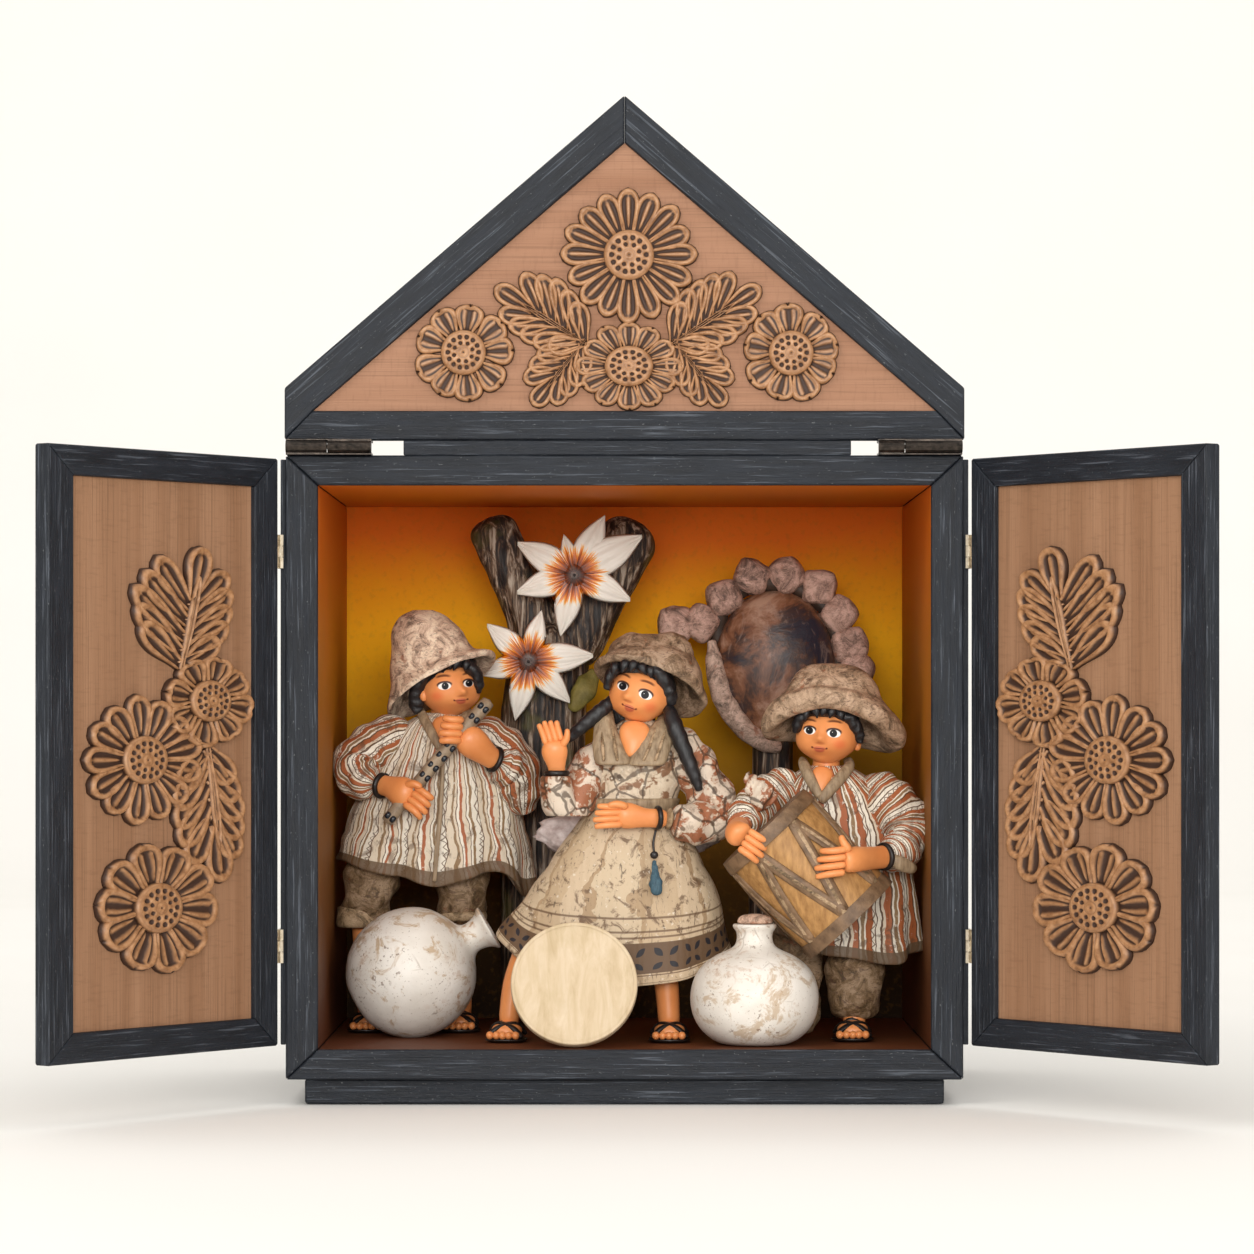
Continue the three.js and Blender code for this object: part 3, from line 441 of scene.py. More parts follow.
def petal(bm, to_world, root, tip, width, height, ribs=1, notch=0.0, sharp=0.0, bow=0.0):
    """One carved petal from root to tip in the garland's plane, standing height proud."""
    layer = bm.verts.layers.float["recess"]
    made = bmesh.ops.create_grid(bm, x_segments=12, y_segments=16, size=1.0)["verts"]
    length = (tip - root).length
    run_dir = (tip - root) / length
    side_dir = Vector((run_dir.y, -run_dir.x))
    for v in made:
        across, run = v.co.x, (v.co.y + 1) / 2
        past = max(0.0, (run - 0.66) / 0.34)
        round_off = math.sqrt(max(0.0, 1 - past * past))
        round_off = max(0.04, round_off * (1 - sharp) + (1 - past) * sharp)
        half = width / 2 * (0.42 + 0.58 * smooth_step(0, 0.62, run)) * round_off
        edge = math.hypot(abs(across) * round_off, past)
        rim = bell(edge, 0.76, 0.20)
        offset = 0.0 if ribs == 1 else 0.3
        rib = bell(abs(across), offset, 0.21 if ribs == 1 else 0.16)
        rib = rib * smooth_step(0.05, 0.25, run) * (1 - smooth_step(0.3, 0.62, past))
        crest = max(rim, 0.72 * rib)
        drop = smooth_step(0.86, 1.0, edge)
        up = height * (0.42 + 0.58 * crest) * (1 - 0.55 * drop) * (0.72 + 0.28 * smooth_step(0, 0.5, run))
        reach = run * length - notch * length * bell(across, 0, 0.3) * past
        side = across * half + bow * length * math.sin(math.pi * run) * 0.5
        flat = root + run_dir * reach + side_dir * side
        v[layer] = max(0.0, 1 - crest * 1.25) * (1 - drop) + 0.85 * drop
        v.co = to_world(flat.x, flat.y, up)
    close_down(bm, to_world, made, 1.1)


def disc(bm, to_world, radius, height):
    """The dotted boss of a flower, spun from its radius and pricked with two rings of dots."""
    layer = bm.verts.layers.float["recess"]
    count, steps = 20, 84
    spoke = [bm.verts.new((i / count, 0, 0)) for i in range(count + 1)]
    edges = [bm.edges.new(pair) for pair in zip(spoke, spoke[1:])]
    bmesh.ops.spin(
        bm, geom=spoke + edges, cent=(0, 0, 0), axis=(0, 0, 1), angle=2 * math.pi, steps=steps, use_merge=True
    )
    verts, seen = list(spoke), set(spoke)
    for v in verts:
        for near in [end for e in v.link_edges for end in e.verts if end not in seen]:
            seen.add(near)
            verts.append(near)
    bmesh.ops.remove_doubles(bm, verts=verts, dist=1e-5)
    verts = [v for v in verts if v.is_valid]
    border = []
    for v in verts:
        rho = math.hypot(v.co.x, v.co.y)
        angle = math.atan2(v.co.y, v.co.x)
        pit = bell(rho, 0.24, 0.05) * 0.35 + bell(rho, 0.88, 0.035) * 0.4
        for ring_radius, dots, size, turn in ((0.68, 14, 0.085, 0.0), (0.42, 8, 0.07, 0.3)):
            step = 2 * math.pi / dots
            off = (angle - turn + step / 2) % step - step / 2
            far = math.hypot(rho - ring_radius, off * ring_radius)
            pit = max(pit, 1.0 if far < size * 0.75 else bell(far, size * 0.75, size * 0.5))
        pit = max(pit, bell(rho, 0, 0.05) * 0.8)
        drop = smooth_step(0.92, 1.0, rho)
        up = height * (1 - 0.10 * rho * rho) - 0.4 * height * 0.5 * pit - height * 0.35 * drop
        v[layer] = min(1.0, pit * 1.1 + 0.5 * drop)
        v.co = to_world(v.co.x * radius, v.co.y * radius, up)
        if rho > 0.99:
            border.append(v)
    close_down(bm, to_world, border, 0.9)


# %% Whole flowers and leaves
def flower(bm, to_world, centre, radius, petals, boss, height, seed, stretch=1.0, turn=0.0, notch=0.0,
           ribs=1):
    """Looped petals set around a dotted boss, no two quite alike."""
    rng = random.Random(seed)

    def stretched(x, z, up):
        return to_world(centre[0] + x * stretch, centre[1] + z, up)

    width = 2 * math.pi * radius * 0.78 / petals * 1.12
    for i in range(petals):
        angle = turn + 2 * math.pi * (i + rng.uniform(-0.07, 0.07)) / petals
        way = Vector((math.cos(angle), math.sin(angle)))
        reach = radius * rng.uniform(0.955, 1.02)
        petal(
            bm, stretched, way * boss * 0.8, way * reach, width * rng.uniform(0.96, 1.06),
            height * (0.86 if i % 2 else 0.93), ribs, notch,
        )
    disc(bm, stretched, boss, height * 1.08)


def leaf(bm, to_world, root, tip, left, right, lobes, height, stretch=1.0):
    """A feathered leaf: looped lobes on both sides of a midrib, and one at the tip."""
    rng = random.Random(3)
    root = Vector(root)
    spine = Vector(((tip[0] - root.x) / stretch, tip[1] - root.y))
    length = spine.length
    ahead = spine / length
    aside = Vector((-ahead.y, ahead.x))

    def stretched(x, z, up):
        return to_world(root.x + x * stretch, root.y + z, up)

    for side, reach in ((1, left), (-1, right)):
        for i in range(lobes):
            s = (i + 1.0) / (lobes + 1.0)
            broad = math.sin(math.pi * (0.16 + 0.72 * s)) ** 0.8 * reach / stretch
            end = spine * (0.16 + 0.84 * s) + aside * side * broad * rng.uniform(0.95, 1.03)
            start = spine * max(0.0, 0.78 * s - 0.16)
            width = max(length, reach / stretch * 1.9) / lobes * 1.08
            petal(bm, stretched, start, end, width, height * 0.92, bow=-0.07 * side)
    petal(bm, stretched, spine * 0.58, spine * 1.02, length / lobes * 1.1, height)
    petal(bm, stretched, spine * -0.06, spine * 0.8, length * 0.055, height * 1.12, sharp=0.9)


def relief_mesh():
    bm = bmesh.new()
    bm.verts.layers.float.new("recess")
    return bm


# %% [markdown]
# The garland of a door is laid out as if the door were shut, in millimetres from its pin,
# and turned open by the joint's own angle. It is stretched along the door, so that its
# flowers look round from the front while the doors stand open.

# %% Garlands on the doors
STRETCH = 1.46
for side, sign in (("left", -1), ("right", 1)):
    bm = relief_mesh()
    pin = Vector(joints[f"{side}_door_hinge"]["pos_m"])
    turn = Matrix.Rotation(sign * OPEN[side], 4, "Z")

    def on_door(u, z, up, sign=sign, pin=pin, turn=turn):
        closed = Vector((-sign * (2.6 + u), -1.6 + up, 0)) * MM
        placed = turn @ closed
        return Vector((pin.x + placed.x, pin.y + placed.y, z * MM))

    leaf(bm, on_door, (66, 197), (52, 249), 27, 40, 5, 4.4, STRETCH)
    flower(bm, on_door, (90.5, 156), 28.6, 13, 10.6, 4.6, 5, STRETCH * 0.93)
    leaf(bm, on_door, (48, 161), (39, 102), 26, 17, 5, 3.8, STRETCH)
    flower(bm, on_door, (81.7, 91.6), 29.6, 10, 11, 4.8, 7, STRETCH * 0.95, 0.1, notch=0.03, ribs=2)
    flower(bm, on_door, (47.7, 181.7), 21, 8, 9.2, 5.3, 9, STRETCH, 0.2, notch=0.10, ribs=2)
    piece(f"door_{side}_garland_carved", bm, CARVED, f"{side}_door", [f"door_{side}_garland"])

print("door garlands carved")


# %% Garland on the gable
bm = relief_mesh()
GABLE_PANEL_DEPTH = 3
face_y = front_y * 1000 + GABLE_PANEL_DEPTH


def on_gable(x, z, up):
    return Vector((x, face_y - up, z)) * MM


leaf(bm, on_gable, (-18, 343), (-58, 368), 13, 18, 5, 4.2)
leaf(bm, on_gable, (22, 343), (61, 368), 18, 13, 5, 4.2)
leaf(bm, on_gable, (-19, 343), (-41, 315), 11, 14, 4, 4.0)
leaf(bm, on_gable, (23, 343), (45, 315), 14, 11, 4, 4.0)
flower(bm, on_gable, (-72.5, 338.6), 22.8, 9, 10.2, 4.9, 2, notch=0.10, ribs=2)
flower(bm, on_gable, (75, 338.4), 22.8, 9, 10.2, 4.9, 4, turn=0.2, notch=0.10, ribs=2)
flower(bm, on_gable, (2, 382.5), 31.2, 16, 11.4, 4.9, 6)
flower(bm, on_gable, (2, 332.5), 20.6, 12, 9.2, 5.0, 8, 1.2, notch=0.08, ribs=2)
piece("pediment_garland_carved", bm, CARVED, "pediment", ["pediment_garland"])
print("garlands carved")

# %% [markdown]
# ## Modelling the figures
# The real figures are pressed from plaster and potato paste: smooth rounded parts put
# together while soft, then painted. Sculpting can't be written down in steps, and
# metaballs lose the crisp hems, so each figure is one mesh of many small closed parts.
# Model lays shells, limbs and balls in millimetres from the figure's own place on the
# floor of the room, and gives each its paint. A shell's texture square runs once around
# it (0 at the back, 0.5 in front) and once from its first station to its last.

# %% The model maker
from mathutils import noise

SEAT = floor_z * 1000 + 0.05


def glide(stations, t):
    """Smooth reading of a row of number tuples, t running from 0 to 1."""
    count = len(stations) - 1
    s = min(max(t, 0.0), 1.0) * count
    i = min(int(s), count - 1)
    f = s - i
    rows = [stations[min(max(i + k, 0), count)] for k in (-1, 0, 1, 2)]
    return [
        0.5 * (2 * b + (c - a) * f + (2 * a - 5 * b + 4 * c - d) * f * f + (3 * b - a - 3 * c + d) * f ** 3)
        for a, b, c, d in zip(*rows)
    ]


class Model:
    """A figure while its parts are put together."""

    def __init__(self, x, y, lift=0.0):
        self.bm = bmesh.new()
        self.bm.loops.layers.uv.new("UVMap")
        self.paints = []
        self.origin = Vector((x, y, SEAT + lift))

    def world(self, x, y, z):
        return (Vector((x, y, z)) + self.origin) * MM

    def take(self, part, paint):
        if paint not in self.paints:
            self.paints.append(paint)
        bmesh.ops.recalc_face_normals(part, faces=part.faces)
        for face in part.faces:
            face.material_index = self.paints.index(paint)
        mesh = bpy.data.meshes.new("part")
        part.to_mesh(mesh)
        part.free()
        self.bm.from_mesh(mesh)
        bpy.data.meshes.remove(mesh)

    def bend(self, paint, columns, rows, place):
        """A grid wrapped once around, each end drawn together in one point."""
        part = bmesh.new()
        part.loops.layers.uv.new("UVMap")
        bmesh.ops.create_grid(part, x_segments=columns, y_segments=rows, size=1, calc_uvs=True)
        for v in part.verts:
            row = round((v.co.y + 1) / 2 * rows)
            v.co = self.world(*place((v.co.x + 1) / 2 % 1.0, row))
        bmesh.ops.remove_doubles(part, verts=part.verts, dist=1e-6)
        self.take(part, paint)

    def shell(self, paint, stations, around=48, rows=40, shape=None):
        """Oval rings (x, y, z, rx, ry, lean, pitch) skinned from the first to the last."""
        stations = [tuple(s) + (0,) * (7 - len(s)) for s in stations]

        def place(u, row):
            t = (row - 1) / (rows - 2)
            x, y, z, rx, ry, lean, pitch = glide(stations, t)
            if row in (0, rows):
                pole = Vector((x, y, z))
                return shape(0.0, t, pole, pole) if shape else pole
            angle = 2 * math.pi * u
            px, py = math.sin(angle) * rx, math.cos(angle) * ry
            a, b = math.radians(lean), math.radians(pitch)
            point = Vector((
                x + px * math.cos(a), y + py * math.cos(b), z + px * math.sin(a) - py * math.sin(b)
            ))
            return shape(u, t, point, Vector((x, y, z))) if shape else point

        self.bend(paint, around, rows, place)

    def limb(self, paint, points, radii, around=16, rows=14, flat=1.0, side=(0, 1, 0), shape=None):
        """A round bar along a smooth path, domed at its ends; flat squeezes it along side."""
        radii = [(r,) for r in radii]
        length = sum((Vector(b) - Vector(a)).length for a, b in zip(points, points[1:]))
        rim = Vector(side)

        def place(u, row):
            t = min(max((row - 0.5) / (rows - 1), 0.0), 1.0)
            ease = 0.5 - 0.5 * math.cos(math.pi * t)
            t = 0.6 * t + 0.4 * ease
            centre = Vector(glide(points, t))
            ahead = (Vector(glide(points, t + 0.01)) - Vector(glide(points, t - 0.01))).normalized()
            across = ahead.cross(rim)
            across = across.normalized() if across.length > 1e-4 else Vector((1, 0, 0))
            out = across.cross(ahead).normalized()
            radius = glide(radii, t)[0]
            near = min(t, 1 - t) * length
            if row in (0, rows):
                return centre
            if near < radius:
                radius *= math.sqrt(max(0.0, 1 - (1 - near / radius) ** 2))
            angle = 2 * math.pi * u
            point = centre + across * math.sin(angle) * radius - out * math.cos(angle) * radius * flat
            return shape(u, t, point, centre) if shape else point

        self.bend(paint, around, rows, place)

    def ball(self, paint, centre, radii, turn=(0, 0, 0), around=20, shape=None):
        part = bmesh.new()
        part.loops.layers.uv.new("UVMap")
        bmesh.ops.create_uvsphere(
            part, u_segments=around, v_segments=max(6, around * 2 // 3), radius=1.0, calc_uvs=True
        )
        rotation = Matrix.Rotation(math.radians(turn[2]), 3, "Z")
        rotation = rotation @ Matrix.Rotation(math.radians(turn[1]), 3, "Y")
        rotation = rotation @ Matrix.Rotation(math.radians(turn[0]), 3, "X")
        for v in part.verts:
            local = Vector((v.co.x * radii[0], v.co.y * radii[1], v.co.z * radii[2]))
            if shape:
                local = shape(v.co.copy(), local)
            v.co = self.world(*(rotation @ local + Vector(centre)))
        self.take(part, paint)

    def finish(self, name, body, replaces=()):
        return piece(name, self.bm, self.paints, body, replaces)


print("figures stand at", round(SEAT, 2), "mm")


# %% Shapes that make a part look pressed by hand
def wobble(amount, scale, seed=0.0):
    """A lump-making shape for shells and limbs, moving points away from their centre."""
    def shape(u, t, point, centre):
        out = point - centre
        push = amount * noise.noise(point * scale + Vector((seed, 0, 0)))
        return point + out.normalized() * push if out.length > 1e-5 else point
    return shape


def lumps(amount, scale):
    """A shape for balls, softly uneven as if pressed by hand."""
    def shape(unit, local):
        return local * (1 + amount * noise.noise(unit * scale))
    return shape


def plaited(twists):
    """A shape for limbs: the swell of a braid's strands as they wind around it."""
    def shape(u, t, point, centre):
        return point + (point - centre) * 0.05 * math.sin(twists * t + 6.28 * u)
    return shape


# %% [markdown]
# ## Paints for the figures
# The clothes are cream with painted bands in brown and rust, rubbed and stained. The
# bands follow the folds of a sleeve, so they read the texture square of each part and not
# its place in the room. Skin, hair and hats are plainer, and read their place.

# %% Stains and banded cloth
CREAM, PALE, TAN, RUST = (0.66, 0.56, 0.43), (0.78, 0.72, 0.61), (0.27, 0.17, 0.085), (0.36, 0.105, 0.035)
BROWN, UMBER = (0.115, 0.06, 0.03), (0.045, 0.025, 0.015)


def uv_axes(p):
    uv = p.node("ShaderNodeUVMap").outputs["UV"]
    return p.axis(uv, "X"), p.axis(uv, "Y")


def stained(p, color, amount, seed):
    """Blotches, scratches and rubbed pale spots over a colour."""
    spot = p.place(shift=(seed, 0, 0))
    blotch = p.step(p.noise(spot, 130, 5, 0.7, 0.6), 0.53, 0.63)
    scratch = p.step(p.noise(p.place(scale=(600, 600, 130), shift=(seed, 0, 0)), 1, 3, 0.6, 1.2), 0.6, 0.68)
    rub = p.step(p.noise(spot, 420, 4, 0.6), 0.62, 0.7)
    color = p.cover(color, BROWN, blotch, amount)
    color = p.cover(color, UMBER, scratch, amount * 0.8)
    return p.cover(color, PALE, rub, 0.55)


def cloth(name, count, bands, hem, hem_color, stain, seed, lengthwise=True, motif=None, zigzag=0.85):
    """Bands that repeat count times around a part, with a zigzag line, a hem and a row of petals."""
    p = Paint(name)
    u, v = uv_axes(p)
    if not lengthwise:
        u, v = v, u
    spot = p.place(shift=(seed, 0, 0))
    shake = p.times(p.less(p.noise(spot, 60, 3, 0.5), 0.5), 0.55)
    phase = p.math("FRACT", p.plus(p.times(u, count), shake))
    color = p.ramp(phase, bands, "CONSTANT")
    dots = p.math("FRACT", p.times(v, 26))
    zig = p.size(p.less(dots, 0.5))
    thin = p.size(p.less(p.plus(phase, p.times(zig, 0.22)), 0.30))
    color = p.cover(color, BROWN, p.step(thin, 0.03, 0.012), zigzag)
    color = stained(p, color, stain, seed)
    if hem[1] > 0:
        edge = p.times(p.step(v, hem[0] - 0.004, hem[0]), p.step(v, hem[1] + 0.004, hem[1]))
        color = p.cover(color, hem_color, edge, 0.92)
    if motif:
        low, high, count = motif
        band = p.times(p.step(v, low - 0.003, low), p.step(v, high + 0.003, high))
        color = p.mix(band, color, (0.13, 0.075, 0.04))
        across = p.size(p.less(p.math("FRACT", p.times(uv_axes(p)[0], count)), 0.5))
        up = p.math("DIVIDE", p.size(p.less(v, (low + high) / 2)), high - low)
        near = p.size(p.less(across, up))
        reach = p.plus(across, up)
        bulge = p.times(p.less(reach, 0.46), 3.6)
        leaf_at = p.plus(p.times(near, 6.6), p.times(bulge, bulge))
        bloom = p.step(leaf_at, 1.0, 0.8)
        color = p.cover(color, (0.02, 0.018, 0.022), bloom, band)
        for at in (low - 0.012, low - 0.07, high + 0.02, high + 0.04, high + 0.085):
            line = p.step(p.size(p.less(v, at)), 0.005, 0.002)
            color = p.cover(color, BROWN, line, 0.8)
    grain = p.noise(spot, 700, 4, 0.6)
    edges = p.node("ShaderNodeTexWave", Vector=p.place(scale=(1, 1, 0.1)), Scale=90.0, Distortion=6.0)
    height = p.plus(p.times(grain, 0.6), p.times(edges.outputs["Fac"], 0.3))
    return p.done(color, 0.55, p.bump(height, 0.4, 0.0006), specular=0.35)


STRIPES = [(0.0, CREAM), (0.16, BROWN), (0.19, PALE), (0.42, TAN), (0.50, PALE), (0.56, BROWN),
           (0.585, CREAM), (0.70, RUST), (0.78, PALE), (0.84, BROWN), (0.865, CREAM), (0.93, TAN)]
RUSTY = [(0.0, PALE), (0.13, BROWN), (0.17, PALE), (0.27, RUST), (0.45, PALE), (0.5, TAN), (0.6, PALE),
         (0.66, BROWN), (0.7, RUST), (0.86, CREAM), (0.94, BROWN)]


# %% Hats, flowered cloth and plain paints
def hat_paint(name, tone, seed, amount=0.55):
    p = Paint(name)
    spot = p.place(shift=(seed, 3, 0))
    soft = p.noise(spot, 105, 8, 0.78, 1.2)
    light, deep = tuple(min(0.85, 1.45 * c + 0.06) for c in tone), tuple(0.32 * c for c in tone)
    color = p.ramp(soft, [(0.38, deep), (0.48, tone), (0.58, light)])
    strokes = p.noise(p.place((230, 230, 520), shift=(seed, 0, 0)), 1.0, 5, 0.7, 1.6)
    color = p.cover(color, (0.085, 0.042, 0.028), p.step(strokes, 0.54, 0.64), amount)
    flakes = p.step(p.noise(spot, 260, 4, 0.65), 0.60, 0.66)
    color = p.cover(color, light, flakes, 0.6)
    rust = p.step(p.noise(p.place(shift=(seed, 9, 0)), 120, 4, 0.6), 0.64, 0.70)
    color = p.cover(color, (0.30, 0.085, 0.03), rust, 0.55)
    rough = p.noise(p.place(shift=(seed, 0, 0)), 450, 5, 0.7)
    height = p.plus(rough, p.times(strokes, 0.8))
    return p.done(color, 0.55, p.bump(height, 0.55, 0.001), specular=0.35)


def floral(name, seed, ground=PALE, patch=RUST, share=0.5):
    """Cream ground with rust blotches and small dark petals."""
    p = Paint(name)
    spot = p.place(shift=(seed, 0, 0))
    bent = p.node("ShaderNodeVectorMath", {"operation": "ADD"})
    p.feed(bent.inputs[0], spot)
    warp = p.node("ShaderNodeTexNoise", Vector=spot, Scale=90.0, Detail=3.0)
    shrunk = p.node("ShaderNodeVectorMath", {"operation": "SCALE"}, Vector=warp.outputs["Color"], Scale=0.006)
    p.feed(bent.inputs[1], shrunk.outputs[0])
    cloud = p.noise(spot, 95, 4, 0.6, 0.5)
    color = p.mix(p.step(cloud, share, share + 0.05), ground, patch)
    color = p.cover(color, CREAM, p.step(p.noise(spot, 210, 4, 0.6), 0.56, 0.62), 0.7)
    petals = p.cells(bent.outputs[0], 150)
    color = p.cover(color, BROWN, p.step(petals, 0.30, 0.22), 0.8)
    color = p.cover(color, PALE, p.step(petals, 0.13, 0.08), 0.8)
    lines = p.cells(bent.outputs[0], 62, "DISTANCE_TO_EDGE")
    color = p.cover(color, UMBER, p.step(lines, 0.045, 0.02), 0.75)
    color = stained(p, color, 0.35, seed)
    grain = p.noise(spot, 600, 4, 0.6)
    return p.done(color, 0.5, p.bump(grain, 0.35, 0.0006), specular=0.35)


def plain(name, low, high, scale=200, rough=0.5, bump=0.25, depth=0.0005, specular=0.4, stretch=(1, 1, 1),
          metallic=0.0):
    """One colour that wanders between low and high, with a fine uneven surface."""
    p = Paint(name)
    cloud = p.noise(p.place(scale=stretch), scale, 4, 0.6)
    fine = p.noise(p.place(), scale * 4, 3, 0.6)
    color = p.ramp(cloud, [(0.3, low), (0.7, high)])
    height = p.plus(cloud, p.times(fine, 0.4))
    return p.done(color, rough, p.bump(height, bump, depth), specular, metallic)


SKIN = plain("skin_paint", (0.70, 0.245, 0.075), (0.80, 0.31, 0.105), 60, 0.36, 0.05, specular=0.45)
HAIR = plain("hair_paint", (0.004, 0.004, 0.005), (0.016, 0.015, 0.017), 500, 0.33, 0.6, 0.0008, 0.5,
             (1, 1, 0.3))
STRAP = plain("strap_paint", (0.006, 0.005, 0.005), (0.02, 0.014, 0.012), 300, 0.35, 0.2)
TROUSERS = hat_paint("trouser_paint", (0.19, 0.115, 0.055), 31.0, 0.8)
CUFF = hat_paint("cuff_paint", (0.29, 0.19, 0.10), 37.0, 0.6)
COLLAR = plain("collar_paint", (0.17, 0.11, 0.06), (0.40, 0.295, 0.185), 60, 0.5, 0.4, 0.0006, 0.35,
               (9, 9, 1))
FLUTE = plain("flute_paint", (0.17, 0.115, 0.07), (0.36, 0.27, 0.18), 150, 0.5, 0.3)
INK = plain("ink_paint", (0.006, 0.008, 0.012), (0.02, 0.026, 0.034), 300, 0.25, 0.1)
BUNDLE = plain("bundle_paint", (0.30, 0.22, 0.20), (0.70, 0.62, 0.60), 170, 0.6, 0.5, 0.001)
TASSEL = plain("tassel_paint", (0.02, 0.05, 0.075), (0.06, 0.13, 0.17), 300, 0.5, 0.6, 0.0008, 0.4, (5, 5, 1))


# %% [markdown]
# ## Faces
# The faces are doll-like, with large eyes, small smiling mouths and red cheeks. The
# features could be cut out as small meshes, but they are painted on the real figures too,
# so each one is a soft oval in the front plane of the head. A painted highlight in each eye
# and painted shade under the nose are ovals too. The head's own shape gives it a nose,
# lips and sockets under the paint.

# %% Painted faces
def face_paint(name, model, eyes, brows, mouth, blush, tilt, nose):
    """Skin with painted eyes, brows, lips and cheeks, a painted highlight in each eye and
    painted shade under the nose, all on the front of the head.
    """
    p = Paint(name)
    spot = p.place()
    middle = (model.origin.y - 4) * MM
    front = p.step(p.axis(spot, "Y"), middle + 0.001, middle - 0.001)

    def put(color, tone, at, half, soft=0.2, turn=0.0, strength=1.0):
        centre = ((at[0] + model.origin.x) * MM, (at[1] + model.origin.z) * MM)
        mask = p.oval(spot, centre, (half[0] * MM, half[1] * MM), soft, turn)
        return p.cover(color, tone, p.times(mask, front), strength)

    cloud = p.noise(spot, 60, 3, 0.5)
    color = p.ramp(cloud, [(0.3, (0.70, 0.245, 0.075)), (0.7, (0.80, 0.31, 0.105))])
    for at in blush:
        color = put(color, (0.72, 0.09, 0.03), at, (2.6, 2.1), 0.8, 0, 0.45)
    for at, half in brows:
        color = put(color, (0.10, 0.028, 0.010), at, half, 0.35, tilt, 0.9)
        low = (at[0] + math.sin(tilt) * half[1] * 1.1, at[1] - math.cos(tilt) * half[1] * 1.1)
        color = put(color, (0.76, 0.28, 0.09), low, (half[0] * 1.05, half[1]), 0.25, tilt)
    for at, half, look in eyes:
        half = (half[0] * 1.12, half[1] * 1.12)
        lid = (at[0] - math.sin(tilt) * half[1] * 0.5, at[1] + math.cos(tilt) * half[1] * 0.5)
        color = put(color, (0.05, 0.016, 0.010), lid, (half[0] * 1.18, half[1]), 0.12, tilt)
        color = put(color, (0.92, 0.90, 0.86), at, half, 0.12, tilt)
        iris = (at[0] + look, at[1] + 0.15)
        color = put(color, (0.004, 0.004, 0.006), iris, (half[1], half[1] * 1.02), 0.1)
        # A small white dot on each iris is a painted highlight.
        color = put(color, (0.9, 0.9, 0.9), (iris[0] - 0.4, iris[1] + 0.5), (0.17, 0.17), 0.3)
    # A soft dark oval under the nose is painted shade.
    color = put(color, (0.40, 0.10, 0.03), (nose[0], nose[1] - 2.2), (2.0, 0.6), 0.6, tilt, 0.6)
    at, half = mouth
    for tone, up, wide, tall, soft in (
        ((0.52, 0.115, 0.055), -0.35, 0.72, 1.0, 0.3),
        ((0.60, 0.16, 0.08), 0.35, 0.8, 0.6, 0.3),
        ((0.12, 0.02, 0.012), 0.12, 1.0, 0.17, 0.4),
    ):
        lip = (at[0], at[1] + half[1] * up)
        color = put(color, tone, lip, (half[0] * wide, half[1] * tall), soft, tilt)
    for sign in (-1, 1):
        corner = (at[0] + sign * half[0] * 0.98, at[1] + 0.45 + sign * half[0] * math.sin(tilt))
        color = put(color, (0.14, 0.025, 0.012), corner, (0.55, 0.4), 0.4, tilt + sign * 0.5)
    fine = p.noise(spot, 400, 3)
    return p.done(color, 0.5, p.bump(fine, 0.05, 0.0004), specular=0.3)


print("paints mixed:", len(bpy.data.materials))


# %% Heads
def head(model, paint, centre, radii, facing, nose, mouth, eyes, ear):
    """A round-cheeked head whose nose, lips and sockets stand out the way it faces."""
    way = Vector((math.sin(math.radians(facing)), -math.cos(math.radians(facing)), 0))

    def shape(unit, local):
        at = Vector(centre) + local
        front = max(0.0, unit.dot(way))
        cheek = 1 + 0.07 * bell(unit.z, -0.35, 0.35) * (1 - abs(front - 0.5))
        chin = 1 - 0.16 * smooth_step(-0.45, -1.0, unit.z)
        local = Vector((local.x * cheek * chin, local.y * cheek * chin, local.z))
        if front > 0.15:
            def near(spot, width, tall):
                return math.exp(-(((at.x - spot[0]) / width) ** 2) - ((at.z - spot[1]) / tall) ** 2)
            bridge = (nose[0] * 0.8 + centre[0] * 0.2, nose[1] + 3.4)
            push = 3.4 * near(nose, 1.9, 1.7) + 1.6 * near(bridge, 1.2, 3.0)
            push += 1.1 * near(mouth, 3.0, 1.7) - 0.5 * near((mouth[0], mouth[1] - 2.9), 3.0, 0.9)
            push += 0.6 * near((mouth[0], mouth[1] - 5.2), 3.2, 1.8)
            for spot in eyes:
                push -= 0.7 * near(spot, 3.2, 2.3)
            local += way * push * smooth_step(0.1, 0.5, front)
        return local

    model.ball(paint, centre, radii, around=56, shape=shape)
    model.ball(SKIN, ear, (1.9, 1.6, 2.7), around=14)


# %% Hands, feet and curls
BRACELET_THICK = 1.25


def fingers(model, palm, reach, across, length, width, curl, radius):
    """Four fingers side by side from a palm, bending over towards curl."""
    reach, across, curl = Vector(reach).normalized(), Vector(across).normalized(), Vector(curl)
    for i in range(4):
        share = i / 3 - 0.5
        start = Vector(palm) + across * share * width - reach * 3.4
        span = (length + 3.4) * (1 - 0.2 * abs(share + 0.12))
        middle = start + reach * span * 0.55 + curl * 1.6
        tip = start + reach * span + curl * -0.4 + across * share * width * 0.12
        model.limb(SKIN, [tuple(start), tuple(middle), tuple(tip)], [radius, radius, radius * 0.78], 12, 10)


def bracelet(model, centre, ahead, radius):
    """A dark cord worn around a wrist whose arm runs ahead."""
    ahead = Vector(ahead).normalized()
    across = ahead.cross(Vector((0, 1, 0))).normalized()
    out = across.cross(ahead)
    ring = []
    for i in range(13):
        a = 2 * math.pi * i / 12
        ring.append(tuple(Vector(centre) + (across * math.cos(a) + out * math.sin(a)) * radius))
    model.limb(STRAP, ring, [BRACELET_THICK] * 13, 10, 60, side=tuple(ahead))


